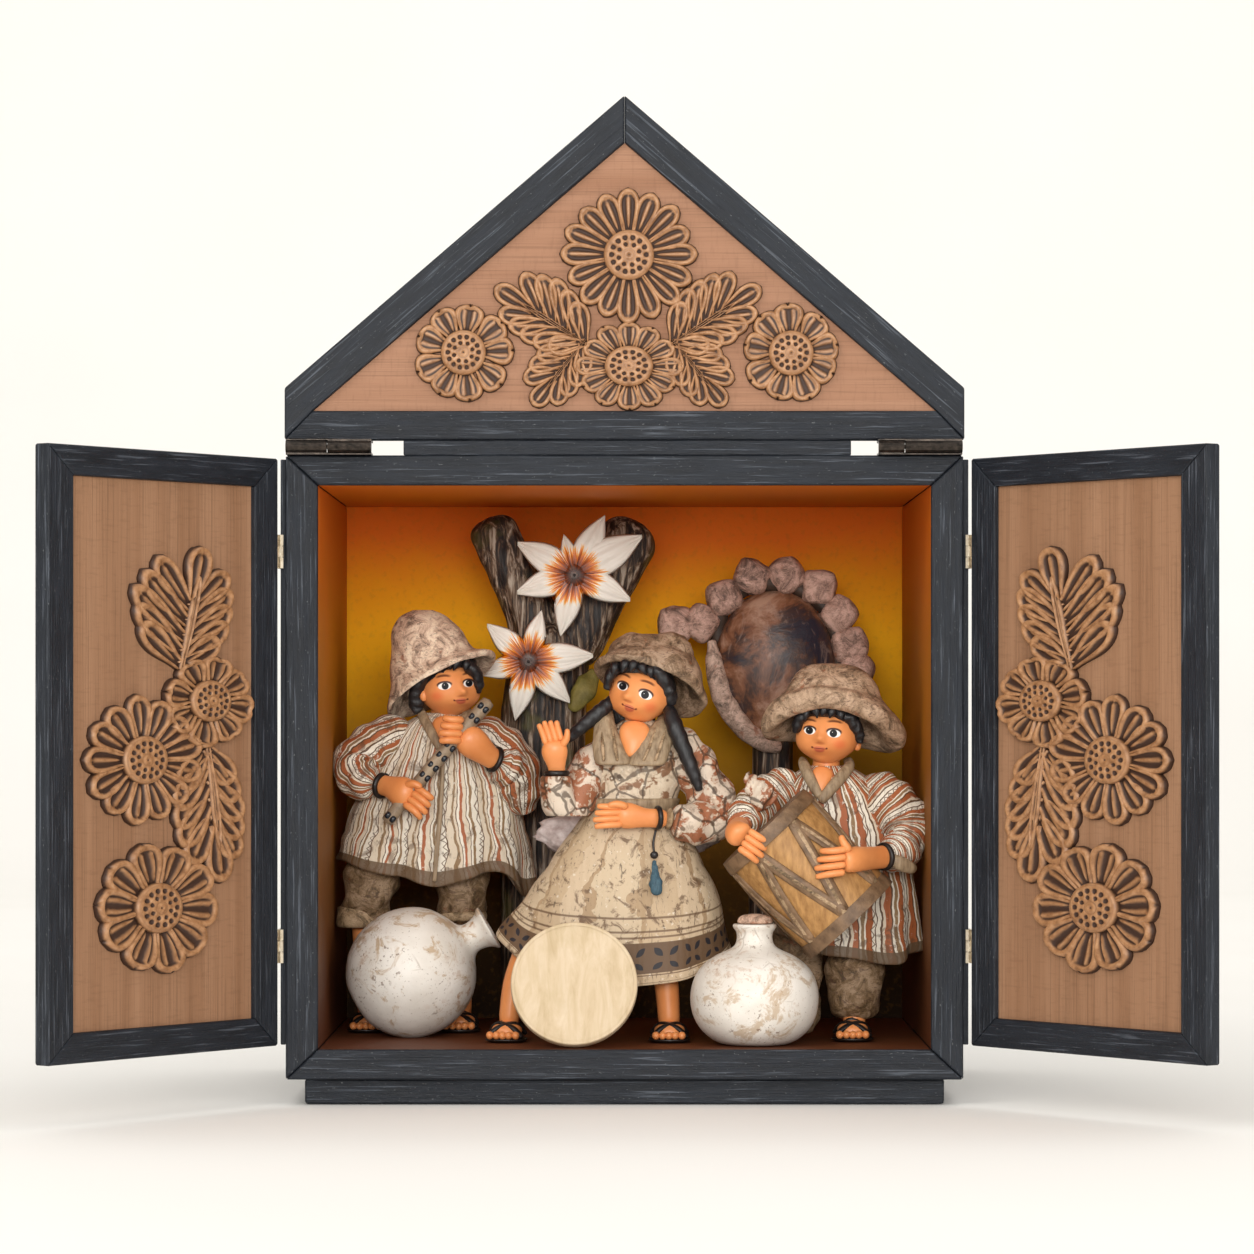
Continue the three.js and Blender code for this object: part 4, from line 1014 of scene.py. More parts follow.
def foot(model, x, y, turn=0.0):
    """A bare foot with toes on a dark sole, with two crossed straps."""
    def spin(px, py, pz):
        a = math.radians(turn)
        px, pz = px * 1.22, pz * 1.12
        return (x + px * math.cos(a) - py * math.sin(a), y + px * math.sin(a) + py * math.cos(a), pz)

    model.limb(STRAP, [spin(0, 8, 1.2), spin(0, -4, 1.2), spin(0, -15, 1.2)], [7.6, 9.6, 9.8], 24, 16, 0.15,
               (0, 0, 1))
    model.limb(SKIN, [spin(0, 5, 5.5), spin(0, -2, 5.0), spin(0, -11, 3.6)], [6.2, 7.0, 8.0], 24, 16, 0.60,
               (0, 0, 1))
    for i, wide in enumerate((-5.2, -2.7, -0.3, 2.0, 4.6)):
        model.ball(SKIN, spin(wide, -13.4 - 0.8 * (2 - abs(i - 2)) * 0.5, 3.2), (1.8, 2.4, 1.9), around=12)
    for sign in (-1, 1):
        model.limb(
            STRAP, [spin(sign * 7, -10.5, 2.2), spin(sign * 2.6, -8.6, 6.2), spin(-sign * 3.4, -4.2, 7.4),
                    spin(-sign * 6.6, 0.5, 3)],
            [1.7, 1.9, 1.9, 1.7], 12, 18, 0.6, (0, 0, 1),
        )
    model.limb(STRAP, [spin(-7, 1, 3), spin(0, -1.5, 9), spin(7, 1, 3)], [1.6, 1.7, 1.6], 12, 14, 0.6,
               (0, 0, 1))


def locks(model, points, seed, drop):
    """Short black curls set along a line."""
    size = 1.9
    rng = random.Random(seed)
    for x, y, z in points:
        lean, fall = rng.uniform(-1.8, 1.8), drop * rng.uniform(0.9, 1.5)
        model.limb(
            HAIR, [(x - lean * 0.4, y + 2.4, z + drop + 1), (x + lean * 0.2, y + 0.5, z + 0.8),
                   (x + lean, y, z - fall)],
            [size * 1.3, size * 1.15, size * 0.14], 14, 14,
        )


# %% [markdown]
# ## The boy with the flute
# He stands at the left in a striped poncho, his hat tipped over one ear, and holds a
# flute slantwise in both hands. A poncho could be a cloth simulation, but the real one is
# modelled paste with soft steady folds, so it is a shell whose rings are pushed in and
# out, and whose hem rises and falls.

# %% His paints, and folds for cloth
boy = Model(-88.8, 7)
boy_cloth = cloth("boy_poncho", 15, STRIPES, (0.10, 0.355), (0.12, 0.068, 0.032), 0.6, 0.3)
boy_sleeve = cloth("boy_sleeve", 5, RUSTY, (0.0, 0.0), CREAM, 0.7, 1.7)
boy_hat = hat_paint("boy_hat", (0.62, 0.44, 0.32), 0.0, 0.6)
HEM_BOY = [(-49, 82), (-20, 75), (0, 70), (29, 77), (44, 65), (47, 66)]


def along(pairs, at):
    for (x0, v0), (x1, v1) in zip(pairs, pairs[1:]):
        if at <= x1:
            return v0 + (v1 - v0) * smooth_step(0, 1, (max(at, x0) - x0) / (x1 - x0))
    return pairs[-1][1]


def folds(hem, top, count, depth, phase=0.0, wave=0.0):
    """Hem line and folds that deepen from top down to the hem."""
    def shape(u, t, point, centre):
        low = min(1.0, max(0.0, 1 - point.z / top))
        rise = along(hem, point.x) * low
        out = Vector((point.x - centre.x, point.y - centre.y, 0))
        swing = math.cos(2 * math.pi * count * u + phase + 2.2 * math.sin(2 * math.pi * 2 * u + phase))
        fine = noise.noise(Vector((u * 23, t * 3.0, phase)))
        push = depth * swing * (0.25 + 0.75 * low) + wave * fine
        moved = point + out.normalized() * push if out.length > 1 else point
        return moved + Vector((0, 0, rise))
    return shape


def creased(depth, count, phase=0.0):
    """Soft folds that run slantwise around a sleeve."""
    def shape(u, t, point, centre):
        out = point - centre
        swing = math.sin(2 * math.pi * (count * t + 2 * u) + phase + 2 * noise.noise(point * 0.05))
        push = depth * (0.7 * swing + 0.8 * noise.noise(point * 0.14 + Vector((phase, 0, 0))))
        return point + out.normalized() * push if out.length > 1e-5 else point
    return shape


# %% Poncho, neck and collar
boy.shell(boy_cloth, [
    (-1, 0, 14, 34, 14), (-1, 0, 2, 43.5, 19.5), (-1, 0, -0.5, 47.2, 22.6), (-1, 0, 4, 48, 23.2),
    (-1, 0, 20, 47, 23), (-1, 0, 45, 46, 22.4), (-1, 0, 75, 45, 22), (-1, 0, 98, 42.5, 21),
    (0, 0, 112, 38, 19), (1, 0, 127, 31.5, 17), (1.5, 0, 139, 24.5, 15), (2, 0, 147, 17.5, 12.5),
    (3, 0, 151.5, 10, 9),
], 128, 72, folds(HEM_BOY, 95, 9, 1.9, 0.6, 1.0))
boy.limb(COLLAR, [(3.3, -19.5, 132), (2.4, -22.8, 108), (0.8, -24.6, 90), (-0.6, -25.2, 72)],
         [1.0, 1.1, 1.2, 1.0], 10, 24, 0.6)
boy.limb(SKIN, [(3, 0, 140), (3, -1, 150), (5, -1, 158)], [7.4, 6.6, 6.4], 20)
boy.limb(SKIN, [(3.0, -9.5, 149.5), (3.2, -13.8, 142.5), (3.4, -16.2, 135.5)], [6.4, 4.8, 1.5], 16, 10, 0.6)
boy.limb(COLLAR, [(-8.5, 2, 153), (-7.0, -9.5, 150.5), (-2.0, -16.4, 141.5), (3.3, -18.6, 132)],
         [2.0, 2.3, 2.3, 1.6], 12, 16, 0.6)
boy.limb(COLLAR, [(14.5, 2, 153), (13.6, -9.5, 150), (8.4, -16.4, 141), (3.3, -18.8, 132)],
         [2.0, 2.3, 2.3, 1.6], 12, 16, 0.6)

# %% Head, hair and tipped hat
boy_face = face_paint(
    "boy_face", boy, [((3.9, 164.0), (2.75, 1.5), 0.3), ((15.0, 165.3), (1.95, 1.45), 0.35)],
    [((3.2, 168.6), (3.3, 1.0)), ((14.6, 169.8), (2.2, 0.9))], ((11.6, 157.2), (3.1, 1.15)),
    [(0.2, 159.3)], 0.09, (11.9, 161.6),
)
head(boy, boy_face, (6, -5, 163), (13.8, 13.5, 13.6), 28, (11.9, 161.6), (11.8, 156.9),
     [(3.9, 164.2), (15.2, 165.4)], (-6.2, -11.6, 159.6))
boy.ball(HAIR, (4.2, -2.6, 166.5), (14.4, 14.0, 12.4), (0, -12, 0), 30, lumps(0.03, 9))
boy.ball(HAIR, (5.8, -2.6, 174.2), (13.0, 11.8, 6.4), (0, -5, 0), 36, lumps(0.03, 7))
locks(boy, [(-3.0, -15.6, 170.6), (1.6, -17.0, 172.4), (6.2, -17.8, 173.4), (9.8, -17.8, 173.8),
            (14.2, -16.4, 173.0)], 3, 1.7)
boy.limb(HAIR, [(14, -14, 175), (18.6, -12.6, 170), (20.0, -11, 165), (19.4, -10.4, 160.6)],
         [3.2, 2.9, 2.3, 1.2], 20, 24, shape=wobble(0.8, 0.4, 3))
boy.limb(HAIR, [(-2.6, -15, 172), (-7.0, -12.6, 167), (-9.8, -10, 161), (-10, -8, 155), (-8.4, -7, 151.6)],
         [2.6, 3.3, 3.7, 3.3, 2.2], 22, 30, shape=wobble(1.2, 0.35, 8))
boy.shell(boy_hat, [
    (0, 0, 178, 15, 13, 26, 16), (0, 0, 170, 21, 18, 27, 18), (1, 0, 165.0, 25.6, 20.4, 27, 20),
    (1.5, 0.5, 163.8, 28.0, 22.2, 27, 20), (1.5, 1, 165.4, 29.2, 23.2, 27, 20),
    (1, 1, 168.0, 27.6, 22, 26, 18), (-0.5, 1, 171.4, 24.2, 20, 23, 15),
    (-2.5, 1, 175.4, 21.0, 18.8, 19, 11), (-4, 1, 181, 18.8, 17.6, 13, 7), (-6, 1, 190, 16.4, 15.6, 6, 0),
    (-7, 1, 197, 11.4, 11), (-7, 1, 200.3, 5, 5),
], 80, 64, wobble(1.6, 0.09, 4))

# %% Sleeves, arms and hands
boy.limb(boy_sleeve, [(-12, 0, 144), (-23, -2, 140), (-33, -5, 133), (-38.4, -9, 125.6), (-34.5, -14, 120),
                      (-28, -18.4, 117.6)],
         [7.5, 10.4, 11.6, 11.8, 10.2, 8.2], 44, 40, shape=creased(1.0, 5, 0.4))
boy.limb(CUFF, [(-28.6, -18.0, 117.8), (-26.4, -19.5, 117.3)], [8.4, 7.2], 28, 8)
bracelet(boy, (-25.6, -20.0, 117.2), (0.8, -0.6, -0.15), 5.2)
boy.limb(SKIN, [(-30, -16, 118), (-23, -22, 117), (-16, -27, 114.5), (-10.5, -29, 112.2)],
         [5.2, 4.9, 7.2, 6.4], 24, 20, 0.66)
fingers(boy, (-9.4, -30.4, 110.8), (0.80, -0.15, -0.62), (0.55, 0, 0.80), 8.6, 9.6, (0.3, -1, 0.1),
        radius=1.75)
boy.limb(SKIN, [(-14.5, -29, 117), (-10, -31.8, 118.2), (-6.2, -32.4, 116.4)], [2.0, 1.9, 1.4], 12, 10)
boy.limb(boy_sleeve, [(16, 0, 144), (25, -2, 139), (34, -5, 130), (38.6, -8, 119), (40, -9, 109),
                      (41, -9, 103)],
         [7.5, 10.6, 11.4, 11.4, 8.6, 3.4], 44, 44, shape=creased(1.1, 5, 1.2))
boy.limb(boy_sleeve, [(39, -10, 120), (35.6, -13.4, 124), (31, -17, 127.4), (28.4, -19.4, 128.8)],
         [9.4, 9.8, 9, 8.0], 36, 24, shape=creased(0.8, 4, 2.1))
boy.limb(CUFF, [(29.2, -18.6, 128.4), (27.2, -20.6, 129.4)], [8.2, 7.2], 28, 8)
bracelet(boy, (27.6, -20.4, 129.4), (-0.8, -0.5, 0.4), 5.4)
boy.limb(SKIN, [(33, -16, 127), (26, -21.5, 130.4), (18, -26, 137), (12, -28.2, 142)], [5.4, 5.1, 7.4, 6.6],
         24, 20, 0.66)
fingers(boy, (9.4, -30.4, 143.4), (-0.85, -0.2, 0.05), (0.1, 0, 1), 8.0, 9.8, (0.1, -1, 0), radius=1.8)

# %% Flute
def squared(unit, local):
    """A shape for balls that pushes a round hole out to a rounded square."""
    return local / max(abs(unit.x), abs(unit.z), 0.7) ** 0.7


boy.limb(FLUTE, [(-23.5, -28.0, 99.6), (0, -27, 128.2), (25.6, -25.2, 157.6)], [3.1, 3.25, 3.45], 24, 14)
for share in (0.05, 0.38, 0.46, 0.54, 0.62, 0.85, 0.935):
    spot = [a + (b - a) * share for a, b in zip((-23.5, -30.5, 99.6), (25.6, -27.9, 157.6))]
    for shift in (-1.45, 1.45):
        hole = (spot[0] + shift * 0.76, spot[1] + 0.25, spot[2] - shift * 0.65)
        boy.ball(INK, hole, (1.3, 1.2, 1.7), (0, 41, 0), 16, squared)

# %% Trousers, legs and feet
for points in ([(-24, 0, 92), (-31, -1, 74), (-36, -1, 52)], [(9, 0, 92), (11, 0, 74), (11.5, 0, 50)]):
    boy.limb(TROUSERS, points, [13, 12.8, 11.4], 36, 30, 0.95, shape=creased(1.4, 3, 0.9))
boy.shell(CUFF, [
    (-37, 0, 60, 7, 7), (-37, 0, 59, 10.6, 10.4), (-37, 0, 55, 11.2, 11), (-37, 0, 50, 11, 10.8),
    (-37, 0, 49.6, 7, 7),
], 36, 14, wobble(0.6, 0.2, 2))
boy.shell(CUFF, [
    (11.5, 0, 58, 8, 8), (11.5, 0, 56.5, 11.4, 10.8), (11.5, 0, 53, 11.4, 10.8), (11.5, 0, 52.4, 7, 7),
], 36, 14, wobble(0.6, 0.2, 5))
for points in ([(-35, 1, 54), (-34, 1, 30), (-33, 1, 6)], [(11, 1, 54), (11, 1, 30), (11, 1, 6)]):
    boy.limb(SKIN, points, [6.4, 5.4, 5], 20, 14)
foot(boy, -33, -1)
foot(boy, 10.8, -1)
boy.finish("flute_boy_modelled", "case", ["figure_flute_boy"])


# %% [markdown]
# ## The woman with the raised hand
# She stands in the middle in a wide banded skirt, one hand raised and the other in her
# lap, with two black braids and a folded shawl collar. Her skirt is shorter in front, so
# the hem's rise depends on how far forward a point lies as well as on its side.

# %% Her paints, and the swing of the skirt
lady = Model(0, -54)
skirt_cloth = cloth(
    "lady_skirt", 5,
    [(0.0, (0.50, 0.37, 0.235)), (0.3, (0.40, 0.28, 0.165)), (0.36, (0.55, 0.43, 0.29)),
     (0.7, (0.38, 0.26, 0.15)), (0.76, (0.56, 0.43, 0.29))],
    (0.10, 0.215), (0.13, 0.08, 0.045), 0.8, 2.1, motif=(0.335, 0.455, 20), zigzag=0.0,
)
blouse = floral("lady_blouse", 5.0, (0.60, 0.49, 0.36), (0.25, 0.13, 0.07), 0.52)
sleeve_cloth = floral("lady_sleeves", 11.0, (0.64, 0.53, 0.42), (0.33, 0.125, 0.06), 0.49)
lady_hat = hat_paint("lady_hat", (0.25, 0.16, 0.095), 8.0, 0.7)
HEM_LADY = [(-57, 49), (-43, 43), (7, 42), (50, 42)]


def skirt_shape(u, t, point, centre):
    low = min(1.0, max(0.0, 1 - point.z / 80))
    rise = (along(HEM_LADY, point.x) + min(0, point.y) * 0.62) * low
    out = Vector((point.x - centre.x, point.y - centre.y, 0))
    swing = math.cos(2 * math.pi * 8 * u + 1.5 * math.sin(4 * math.pi * u))
    push = 1.3 * swing * low + 0.8 * noise.noise(Vector((u * 20, t * 3, 2)))
    moved = point + out.normalized() * push if out.length > 1 else point
    return moved + Vector((0, 0, rise))


# %% Skirt, blouse and shawl collar
lady.shell(skirt_cloth, [
    (-5, 0, 10, 38, 17), (-5, 0, 1.5, 49, 22.5), (-5, 0, -0.5, 52.4, 25), (-5, 0, 2, 53, 25.4),
    (-4.6, 0, 12, 51.4, 24.8), (-3, 0, 28, 48.6, 24), (-1, 0, 46, 45.4, 23), (0, 0, 66, 41, 22),
    (1, 0, 84, 34.5, 20), (2.4, 0, 98, 26, 17), (3, 0, 107, 19.5, 14), (3, 0, 109, 12, 9),
], 120, 64, skirt_shape)
lady.shell(blouse, [
    (3, 0, 104, 12, 9), (3, 0, 106, 19.5, 14), (4, 0, 114, 20.8, 14.5), (6, 0, 123, 22.4, 15),
    (8.5, 0, 133, 24, 14.6), (9, 0, 140, 20.5, 12.5), (7.5, 0, 145, 13, 10), (7, 0, 148, 8, 7),
], 56, 30, wobble(0.9, 0.12, 6))
lady.shell(COLLAR, [
    (3.4, 0, 103.6, 17, 12), (3.2, 0, 104, 20.6, 15.2), (3.4, 0, 107, 20.8, 15.4),
    (4, 0, 111.6, 21.4, 15.8), (4, 0, 112, 17, 12),
], 64, 14, wobble(0.5, 0.2, 4))
lady.limb(SKIN, [(6, 0, 138), (6.4, -1, 147), (7, -1, 155)], [7.2, 6.4, 6.2], 20)
lady.limb(SKIN, [(5.2, -8.6, 147.5), (4.4, -12.8, 139), (3.4, -15.6, 131)], [8.4, 6.4, 2.2], 22, 16, 0.5)
lady.shell(COLLAR, [
    (-7, 3, 152.5, 1.5, 3), (-8.6, -5, 150.4, 3.4, 4.6), (-8.8, -10.5, 143, 5.6, 3.6),
    (-7.2, -14, 135.5, 7.4, 3.0), (-5.2, -16.4, 128.6, 8.0, 2.4), (-5, -16.6, 127.4, 4, 1.4),
], 28, 22, wobble(0.6, 0.3, 6))
lady.shell(COLLAR, [
    (17, 3, 151.5, 1.5, 3), (18.6, -5, 148.4, 4.2, 4.6), (15.8, -11.2, 141, 7.4, 3.8),
    (12.4, -14.6, 134, 8.6, 3.2), (10.2, -17.0, 128.0, 8.2, 2.6), (10, -17, 127, 4, 1.4),
], 28, 22, wobble(0.6, 0.3, 12))
for x0, x1 in ((-10.5, -9.5), (-5.6, -3.2), (14.5, 8.5), (19.0, 14.0)):
    lady.limb(CUFF, [(x0, -12.6, 144), (x0 * 0.5 + x1 * 0.5, -17.2, 136), (x1, -19.2, 129.4)],
              [0.55, 0.8, 0.6], 8, 12)

# %% Head, fringe, braids and brimmed hat
lady_face = face_paint(
    "lady_face", lady, [((-0.9, 163.6), (2.15, 1.6), 0.1), ((9.6, 159.6), (2.75, 1.7), -0.2)],
    [((0.2, 168.6), (2.6, 0.95)), ((10.6, 165.2), (3.3, 1.0))], ((2.2, 153.8), (3.1, 1.35)),
    [(11.8, 153.9)], -0.36, (1.7, 159.0),
)
head(lady, lady_face, (7.4, -5, 160.2), (14.2, 13.8, 13.4), -22, (1.7, 159.0), (2.2, 153.4),
     [(-0.9, 163.6), (9.6, 159.8)], (21.2, -6, 153.6))
lady.ball(HAIR, (9.2, -2.4, 163.2), (14.9, 14.2, 13.2), (0, 10, 0), 30, lumps(0.03, 9))
lady.ball(HAIR, (7.6, -2.6, 171.4), (13.8, 12.6, 6.8), (0, 12, 0), 36, lumps(0.03, 7))
# A dark ball in the hair's paint sits behind her neck and darkens the gap there.
lady.ball(HAIR, (3.5, 5, 150), (11, 5, 9), around=24)
locks(lady, [(-4.4, -14.6, 171.0), (0.2, -16.6, 172.2), (4.0, -17.6, 172.0), (8.0, -17.8, 170.8),
             (11.8, -17.0, 169.4)], 8, 1.8)
lady.limb(HAIR, [(12, -14.6, 173), (17.6, -13.6, 167.6), (20.4, -11.4, 161), (21.6, -8.6, 155)],
          [3.0, 3.4, 3.4, 2.8], 22, 30, shape=wobble(1.0, 0.35, 4))
lady.limb(HAIR, [(-3, -13.6, 173), (-7.0, -11.6, 168), (-7.8, -9.6, 162)], [2.4, 2.6, 1.8], 18, 20,
          shape=wobble(0.8, 0.4, 6))
lady.limb(HAIR, [(-5, -6, 158), (-11, -9, 152.4), (-19, -9, 145.6), (-27, -7, 138.6)], [2.4, 3.4, 3.2, 2.0],
          16, 60, shape=plaited(44))
lady.limb(HAIR, [(20, -8, 155), (22.6, -15.4, 146.5), (27.6, -17.4, 134), (32, -17.6, 123),
                 (34.6, -17, 115.5)],
          [2.6, 3.9, 3.6, 3.0, 1.6], 16, 70, shape=plaited(50))
lady.shell(lady_hat, [
    (11, 2, 178, 14, 12, -10, 20), (11, 1, 171, 18.4, 15.6, -14, 26), (12, 1, 165.2, 22.6, 18, -16, 30),
    (12, 1, 162.6, 25.4, 20.2, -17, 31), (12, 1.4, 163.6, 27.2, 21.6, -17, 31),
    (12, 1.6, 166.6, 26.8, 21.2, -15, 28), (12, 2, 171, 24.2, 19.6, -10, 20),
    (12, 2.5, 177, 20.8, 17.2, -4, 11), (12, 3, 183, 16.5, 12.6), (12, 3, 187, 10.5, 8), (12, 3, 188, 4, 4),
], 80, 64, wobble(1.5, 0.1, 21))
lady.ball(lady_hat, (4.2, 2, 178.4), (11.6, 10, 10.2), around=30, shape=lumps(0.08, 2))
lady.ball(lady_hat, (20.4, 3, 178.6), (11.6, 10, 10.2), around=30, shape=lumps(0.08, 3))

# %% Raised arm and hand
lady.shell(sleeve_cloth, [
    (-7, 0, 139, 5, 5), (-12, -1, 134, 9.5, 9.5), (-18, -4, 122, 9.8, 10), (-23.5, -8, 108, 9.6, 9.6),
    (-27, -10.5, 104, 9, 9), (-30, -13, 110, 8.6, 8.6), (-31.2, -14.4, 119, 7.6, 7.6),
    (-31.4, -14.6, 122.2, 6.8, 6.8), (-31.2, -14.6, 122, 4, 4),
], 36, 36, wobble(1.1, 0.14, 2))
bracelet(lady, (-31.2, -15, 123.8), (0, 0, 1), 4.9)
lady.limb(SKIN, [(-31, -14.4, 118), (-31.2, -15, 126), (-32.0, -16, 133), (-32.6, -17, 139)],
          [4.2, 4.0, 6.0, 5.4], 22, 18, 0.62)
fingers(lady, (-33.4, -17.4, 141.0), (-0.32, -0.1, 1.0), (1, 0, 0.25), 7.6, 7.4, (0, 0.4, 0), radius=1.45)
lady.limb(SKIN, [(-29, -17.2, 136.4), (-26.6, -18.4, 139.6), (-26.2, -18.8, 144.2)], [1.9, 1.6, 1.1], 12, 10)

# %% Resting arm, hand and tassel
lady.limb(sleeve_cloth, [(18, 0, 139), (27, -1.4, 133.6), (35, -3, 122), (41, -5, 109), (39.6, -8.6, 101),
                         (31, -14.4, 101), (21.5, -18.4, 102.8)],
          [8, 10.2, 10.6, 10.4, 10, 9.6, 8.4], 44, 60, shape=creased(1.2, 6, 0.5))
lady.limb(CUFF, [(22, -18.2, 102.8), (18.6, -19.4, 103.2)], [8.7, 7.4], 28, 8)
bracelet(lady, (15.4, -21.0, 103.4), (-1, -0.3, 0), 4.5)
lady.limb(SKIN, [(20, -18.6, 103), (10, -22.0, 103.4), (2, -23.6, 104.4), (-4, -24.2, 104.8)],
          [4.6, 4.4, 6.0, 5.6], 22, 18, 0.66)
fingers(lady, (-4.0, -25.6, 104.6), (-1, -0.1, -0.05), (0.05, 0, 1), 10.6, 8.4, (0, -0.7, 0), radius=1.55)
lady.limb(SKIN, [(1.5, -26.6, 108.4), (-3.4, -28.0, 109.8), (-7.6, -27.8, 109.0)], [1.8, 1.7, 1.2], 12, 10)
lady.limb(TASSEL, [(13.6, -22.6, 84), (14.0, -24.6, 79), (14.4, -26.0, 73.5), (14.6, -26.8, 68)],
          [0.9, 1.6, 3.1, 2.0], 16, 22, 0.6, shape=wobble(0.7, 0.5, 7))
lady.ball(STRAP, (13.6, -22.8, 86.4), (1.9, 1.2, 1.8), around=16)
lady.limb(STRAP, [(14.4, -21.4, 98), (13.2, -22.4, 92), (13.6, -22.8, 87)], [0.5, 0.6, 0.5], 8, 12)

# %% Legs, feet and the bundle behind her
lady.limb(SKIN, [(16, -6, 50), (19.4, -6, 26), (20.7, -7, 7)], [6.6, 5.6, 5], 20, 14)
lady.limb(SKIN, [(-45, 0, 42), (-51, -4, 26), (-53.6, -6, 7)], [6.0, 5.2, 4.6], 20, 14)
foot(lady, 20.7, -7.5)
foot(lady, -53.6, -6.5, -8)
lady.ball(BUNDLE, (2, 19, 95), (43, 11, 13), around=48, shape=lumps(0.10, 5))
lady.finish("woman_modelled", "case", ["figure_woman"])


# %% [markdown]
# ## The boy with the drum
# He stands at the right under a rolled floppy hat, and holds a slanted two-headed drum
# laced with leather bands. The drum is built along its own slanted axis: its body and
# rims are round slices, and each band is a flat limb that bends over the side of the
# drum.

# %% His paints, poncho and collar
drummer = Model(91.2, -50)
drum_cloth = cloth("drummer_poncho", 12, RUSTY, (0.12, 0.35), (0.115, 0.07, 0.036), 0.65, 7.7)
drum_sleeve = cloth("drummer_sleeve", 6, RUSTY, (0, 0), CREAM, 0.5, 9.2, lengthwise=False)
drum_hat = hat_paint("drummer_hat", (0.34, 0.225, 0.14), 3.0, 0.75)
drum_wood = plain("drum_wood", (0.27, 0.13, 0.04), (0.50, 0.27, 0.095), 70, 0.5, 0.5, 0.0008, 0.35,
                  (6, 6, 1.5))
leather = plain("drum_leather", (0.09, 0.05, 0.025), (0.25, 0.15, 0.08), 160, 0.5, 0.5, 0.0008)
HEM_DRUM = [(-30, 52), (5, 40), (33, 36), (46, 42)]
drummer.shell(drum_cloth, [
    (10, 0, 10, 26, 12), (10, 0, 1.2, 33, 16.5), (10, 0, -0.5, 35.8, 18), (10, 0, 3, 36.4, 18.4),
    (10, 0, 20, 35.4, 18), (10, 0, 44, 34.6, 17.5), (9, 0, 74, 33.6, 17), (7, 0, 98, 32.5, 16),
    (5, 0, 112, 27.5, 14.6), (3.4, 0, 121, 19, 12), (3, 0, 127, 9.5, 8),
], 96, 60, folds(HEM_DRUM, 74, 7, 1.3, 1.9, 0.9))
drummer.limb(SKIN, [(2, 0, 118), (2.2, -1, 127), (2.5, -1, 135)], [7.2, 6.4, 6.2], 20)
drummer.limb(SKIN, [(1.0, -8.6, 126.5), (-0.4, -12, 120), (-1.2, -14.5, 114)], [6.0, 4.2, 1.5], 16, 10, 0.5)
drummer.limb(COLLAR, [(-8, 2, 130), (-8.4, -8, 127.5), (-5.2, -13.6, 120), (-1.2, -16.4, 112.5)],
             [2.0, 2.5, 2.6, 1.9], 12, 16, 0.6)
drummer.limb(COLLAR, [(12, 2, 130), (12.4, -8, 126.5), (6.0, -14.0, 119), (-1.4, -17.4, 110.5)],
             [2.0, 2.6, 2.8, 2.2], 12, 16, 0.6)

# %% His head, hair and floppy hat
drummer_face = face_paint(
    "drummer_face", drummer, [((-6.0, 143.2), (2.2, 1.5), -0.1), ((5.0, 141.9), (2.75, 1.6), -0.2)],
    [((-5.8, 147.9), (2.7, 0.9)), ((5.6, 147.2), (3.3, 0.95))], ((-1.6, 134.9), (3.3, 1.2)),
    [(7.8, 136.8)], -0.1, (-1.3, 139.7),
)
head(drummer, drummer_face, (2.5, -5, 141.2), (14.2, 13.6, 13.4), -12, (-1.3, 139.7), (-1.6, 134.6),
     [(-6.0, 143.3), (5.0, 142.1)], (16.4, -5.6, 136.6))
drummer.ball(HAIR, (3.4, -2.4, 144.4), (14.9, 14.2, 12.8), (0, 0, 0), 30, lumps(0.03, 9))
drummer.ball(HAIR, (2.6, -4.4, 154.4), (13.8, 14.2, 8.0), (0, 3, 0), 36, lumps(0.03, 7))
locks(drummer, [(-7.4, -15.2, 150.2), (-3.2, -17.0, 151.4), (0.6, -17.8, 151.6), (4.2, -17.8, 150.8),
                (8.2, -16.8, 149.6)], 13, 1.7)
drummer.limb(HAIR, [(9, -15, 152), (14.2, -13, 147), (16.8, -11, 142), (17.4, -9.4, 137.6)],
             [2.8, 3.1, 2.9, 1.8], 22, 28, shape=wobble(1.0, 0.4, 4))
drummer.limb(HAIR, [(-8, -13.6, 151), (-11.2, -11.6, 147), (-11.8, -9.6, 142)], [2.6, 2.8, 1.8], 18, 20,
             shape=wobble(0.8, 0.4, 6))


def floppy(u, t, point, centre):
    """The brim droops at both sides, lifts in front and is lumpy all over."""
    brim = bell(t, 0.34, 0.24)
    moved = wobble(2.2, 0.085, 41)(u, t, point, centre)
    side = abs(math.sin(2 * math.pi * u)) ** 2
    return moved + Vector((0, 0, brim * (2.6 - 8.0 * side)))


drummer.shell(drum_hat, [
    (4, 1, 160, 13, 11, -3, 8), (4, 0, 153, 18, 15.5, -4, 16), (5, 0, 146.6, 22.4, 18.6, -5, 20),
    (5, 0, 143.2, 27.6, 21.6, -6, 21), (5.5, 0, 143.8, 32.0, 24.4, -6, 21),
    (5.5, 0, 148.6, 33.4, 25.4, -6, 20), (5, 0, 153.4, 31.0, 24, -6, 18), (5, 0, 157.0, 26.6, 21.4, -5, 14),
    (5, 1, 160.4, 22.8, 19, -4, 9), (5, 1, 165.4, 20.0, 17.2, -2, 5), (5, 1, 170.4, 15.8, 14),
    (4, 1, 173.6, 9.5, 9), (4, 1, 174.4, 4, 4),
], 88, 72, floppy)

